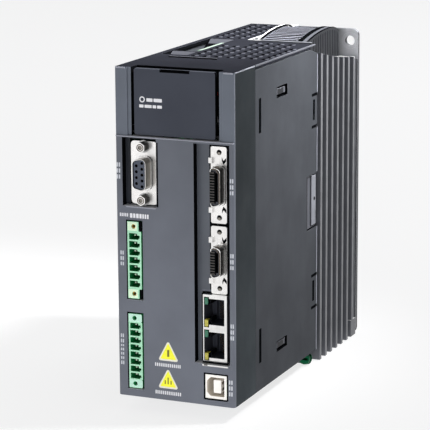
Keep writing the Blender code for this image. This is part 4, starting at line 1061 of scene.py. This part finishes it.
def cooling():
    # The heat sink's top faces take the near-white aluminium as painted highlight, and its fins' outer faces
    # their own copy as painted light.
    refine("heat_sink", FIN, 0.25, 3, [
        (BARE_AND_GLINT, lambda c, n: n.z > 0.6),
        (OUTER_FIN_LIGHT, lambda c, n: n.x > 0.9 and c.x > 55.0),
    ])
    # The plate's sides take the shade grey and its edges and back a darker copy, painted shade; its face is
    # the bright aluminium.
    refine("wall_plate", PLATE_IN_SHADE, 0.3, 2, [
        (SHADE, lambda c, n: n.x > 0.9),
        (PLATE, lambda c, n: n.y < -0.9),
    ])
    low, high = span("wall_plate")
    solid("plate_shade", add_box, [
        ((57.3, high.x - 0.05), (low.y - 0.06, low.y + 0.3), (2.0, 141.5)),
    ], SHADE)
    # A pale strip along the plate's edge: painted highlight.
    solid("plate_edge_painted_highlight", add_box, [
        ((58.2, 59.3), (low.y - 0.14, low.y + 0.2), (2.0, 141.5)),
    ], PLATE_LINE_GLINT, bevel=0.05)
    low, high = span("fan_hood")
    # The hood's upward faces take paler greys: painted highlight.
    refine("fan_hood", HOOD, 0.2, 3, [
        (HOOD_BAR_GLINT, lambda c, n: n.z > 0.5 and c.x > high.x - 3.7),
        (MESH, lambda c, n: n.z > 0.5 and c.x < high.x - 3.7),
    ])
    # Black strips along the hood's top, where its slots lie in shade: painted shadow.
    grooves = bmesh.new()
    depths = [low.y + 0.3 + (high.y - low.y - 0.6) * k / 12 for k in range(13)]
    over = [(y, arch_line(y, low, high) + 0.05) for y in depths]
    under = [(y, z - 0.3) for y, z in reversed(over)]
    from_right = ((3.65, 2.7), (0.8, -0.02), (5.4, 3.7))
    across = [(high.x - first, high.x - second) for first, second in from_right]
    for x in (*across, (low.x + 1.1, low.x + 2.5)):
        add_prism(grooves, over + under, "x", *x)
    piece("hood_groove_shadows", grooves, SATIN_AND_SHADOW)
    # A near-white strip along the hood's left top edge: painted highlight.
    over = [(y, arch_line(y, low, high) + 0.06) for y in depths]
    under = [(y, z - 0.3) for y, z in reversed(over)]
    solid("hood_edge_painted_highlight", add_prism, [
        (over + under, "x", low.x + 0.1, low.x + 0.75),
    ], BARE_AND_GLINT)
    # Darker strips over the heat sink's pale top, along its front and beside the hood: painted shade.
    solid("heat_sink_edge_painted_shade", add_box, [
        ((31.5, 57.6), (103.3, 106.2), (157.8, 158.08)),
    ], FIN, bevel=0.05)
    solid("heat_sink_top_shade", add_box, [
        ((25.7, 31.5), (104.7, 106.2), (157.8, 158.06)),
        ((25.7, 27.7), (106.2, 125.9), (157.8, 158.06)),
    ], HOOD)
    solid("heat_sink_stop", add_box, [
        ((57.4, 57.85), (103.2, 106.4), (147.0, 158.0)),
    ], HOOD, bevel=0.08)
    ridges = bmesh.new()
    count = 18
    for k in range(count):
        y = low.y + 1.6 + (high.y - low.y - 3.2) * k / (count - 1)
        bottom, top = fin_line(y) + 0.9, arch_line(y, low, high) - 1.3
        add_box(ridges, (high.x - 0.1, high.x + 0.25), (y - 0.5, y + 0.5), (bottom, top))
    piece("hood_ridges", ridges, HOOD, bevel=0.15)
    refine("fan_frame", SATIN_AND_SHADOW, 0.3)
    refine("fan_rotor", SATIN_AND_SHADOW, 0.15)
    for side in ("left", "right"):
        node = f"ground_screw_{side}"
        refine(node, GREEN_SCREW, 0.5, 3)
        low, high = span(node)
        centre = ((low.x + high.x) / 2, (low.z + high.z) / 2)
        solid(f"ground_washer_{side}", add_band, [
            (circle(centre, 3.6, 28), circle(centre, 2.0, 28), "y", high.y - 0.25, high.y + 0.2),
        ], GREEN_SCREW, bevel=0.1)


# ---- electronics


def chips(name, board, face, seed, count):
    """Small parts on a board's face: packages of seeded random sizes, each with soft edges."""
    chooser = random.Random(seed)
    low, high = span(board)
    shape = bmesh.new()
    x = high.x if face > 0 else low.x
    for _ in range(count):
        length, width = chooser.choice(((3.0, 1.6), (5.0, 4.0), (7.0, 7.0), (2.0, 1.2)))
        y = chooser.uniform(low.y + 6, high.y - 6)
        z = chooser.uniform(low.z + 6, high.z - 6)
        tall = 0.6 + 0.1 * length
        depth = (x - 0.05, x + tall) if face > 0 else (x - tall, x + 0.05)
        add_box(shape, depth, (y - width / 2, y + width / 2), (z - length / 2, z + length / 2))
    piece(name, shape, SATIN_AND_SHADOW, bevel=0.15)


def electronics():
    for node in ("interface_board", "control_board", "power_board"):
        refine(node, BOARD, 0.08)
    chips("interface_chips", "interface_board", 1, 3, 14)
    chips("control_chips", "control_board", -1, 5, 18)
    for node in ("power_module", "bridge_rectifier", "inrush_relay"):
        refine(node, SATIN_AND_SHADOW, 0.5, 3)
    refine("switching_transformer", TAPE, 0.8, 3)
    refine("common_mode_choke", WIRE, 1.2, 3)
    for level in ("upper", "lower"):
        node = f"bus_capacitor_{level}"
        refine(node, SLEEVE, 0.9, 3)
        low, high = span(node)
        centre = ((low.y + high.y) / 2, (low.z + high.z) / 2)
        lid = bmesh.new()
        add_prism(lid, circle(centre, 11.0, 32), "x", high.x - 0.2, high.x + 0.15)
        for y, z in ((8, 0.3), (0.3, 8)):
            cross = ((centre[0] - y, centre[0] + y), (centre[1] - z, centre[1] + z))
            add_box(lid, (high.x, high.x + 0.3), *cross)
        piece(f"capacitor_lid_{level}", lid, BARE_AND_GLINT, bevel=0.1)


# ---- stage, light and camera

CAMERA_PLACE = Vector((0.3969, -1.0442, 0.2255))
CAMERA_YAW = math.radians(23.3)
CAMERA_PITCH = math.radians(12.39)
CAMERA_ROLL = math.radians(-0.34)
CAMERA_LENS = 178.0


def camera():
    yaw, pitch = CAMERA_YAW, CAMERA_PITCH
    forward = Vector((-math.sin(yaw) * math.cos(pitch), math.cos(yaw) * math.cos(pitch), -math.sin(pitch)))
    level = Vector((math.cos(yaw), math.sin(yaw), 0.0))
    upright = level.cross(forward)
    right = level * math.cos(CAMERA_ROLL) + upright * math.sin(CAMERA_ROLL)
    up = upright * math.cos(CAMERA_ROLL) - level * math.sin(CAMERA_ROLL)
    data = bpy.data.cameras.new("camera")
    data.lens = CAMERA_LENS
    data.sensor_width = 36.0
    obj = bpy.data.objects.new("camera", data)
    turn = Matrix((right, up, -forward)).transposed()
    obj.matrix_world = Matrix.Translation(CAMERA_PLACE) @ turn.to_4x4()
    scene.collection.objects.link(obj)
    scene.camera = obj


def area_light(name, place, size, power, aim=(0.0, -0.09, 0.0), spread=180.0, shine=True):
    """A square soft box turned to a point, with its spread in degrees."""
    data = bpy.data.lights.new(name, "AREA")
    data.size = size
    data.energy = power
    data.spread = math.radians(spread)
    obj = bpy.data.objects.new(name, data)
    obj.location = place
    obj.visible_camera = False
    obj.visible_glossy = shine
    obj.rotation_mode = "QUATERNION"
    obj.rotation_quaternion = (Vector(aim) - Vector(place)).to_track_quat("-Z", "Y")
    scene.collection.objects.link(obj)


def stage():
    shape = bmesh.new()
    bmesh.ops.create_circle(shape, cap_ends=True, segments=64, radius=8.0)
    mesh = bpy.data.meshes.new("floor")
    shape.to_mesh(mesh)
    shape.free()
    made, tree, shader = start_material("floor_white", 0.7)
    cloud = noise(tree, object_points(tree), 300.0, 3.0)
    tint = mix(tree, cloud, (0.24, 0.24, 0.243), (0.25, 0.25, 0.25))
    tree.links.new(tint, shader.inputs["Base Color"])
    shader.inputs["Emission Color"].default_value = (1.0, 1.0, 1.0, 1.0)
    shader.inputs["Emission Strength"].default_value = 0.75
    mesh.materials.append(made)
    floor = bpy.data.objects.new("floor", mesh)
    floor.location = (0.0, 0.0, cad_box[0].z - 0.0003)
    scene.collection.objects.link(floor)
    world = bpy.data.worlds.new("studio")
    world.use_nodes = True
    background = world.node_tree.nodes["Background"]
    background.inputs["Color"].default_value = (0.97, 0.98, 1.0, 1.0)
    background.inputs["Strength"].default_value = 0.4
    scene.world = world
    scene.view_settings.view_transform = "Standard"
    area_light("key", (-0.7, -1.7, 0.35), 1.0, 4.0)
    area_light("side", (0.26, 0.02, 0.40), 0.15, 0.75, (0.03, -0.05, 0.16), 40.0)
    area_light("low_fill", (0.10, -0.45, -0.07), 0.15, 0.65, (0.0, -0.17, -0.06), shine=False)
    area_light("back", (0.4, 1.2, 1.0), 0.8, 6.0)


camera()
stage()
housing()
door()
keypad()
encoder_port()
header_cells("io_header", 3.81, 7)
header_cells("safety_header", 3.5, 8)
header_nuts("io_header", 4.6, BRASS, PALE_MINT, 1.95)
header_nuts("safety_header", 4.1, MINT_IN_SHADE, COOL_MINT, 0.0)
ribbon_port("command")
ribbon_port("feedback")
network_port()
usb_port()
power_headers()
printed_marks()
cooling()
electronics()
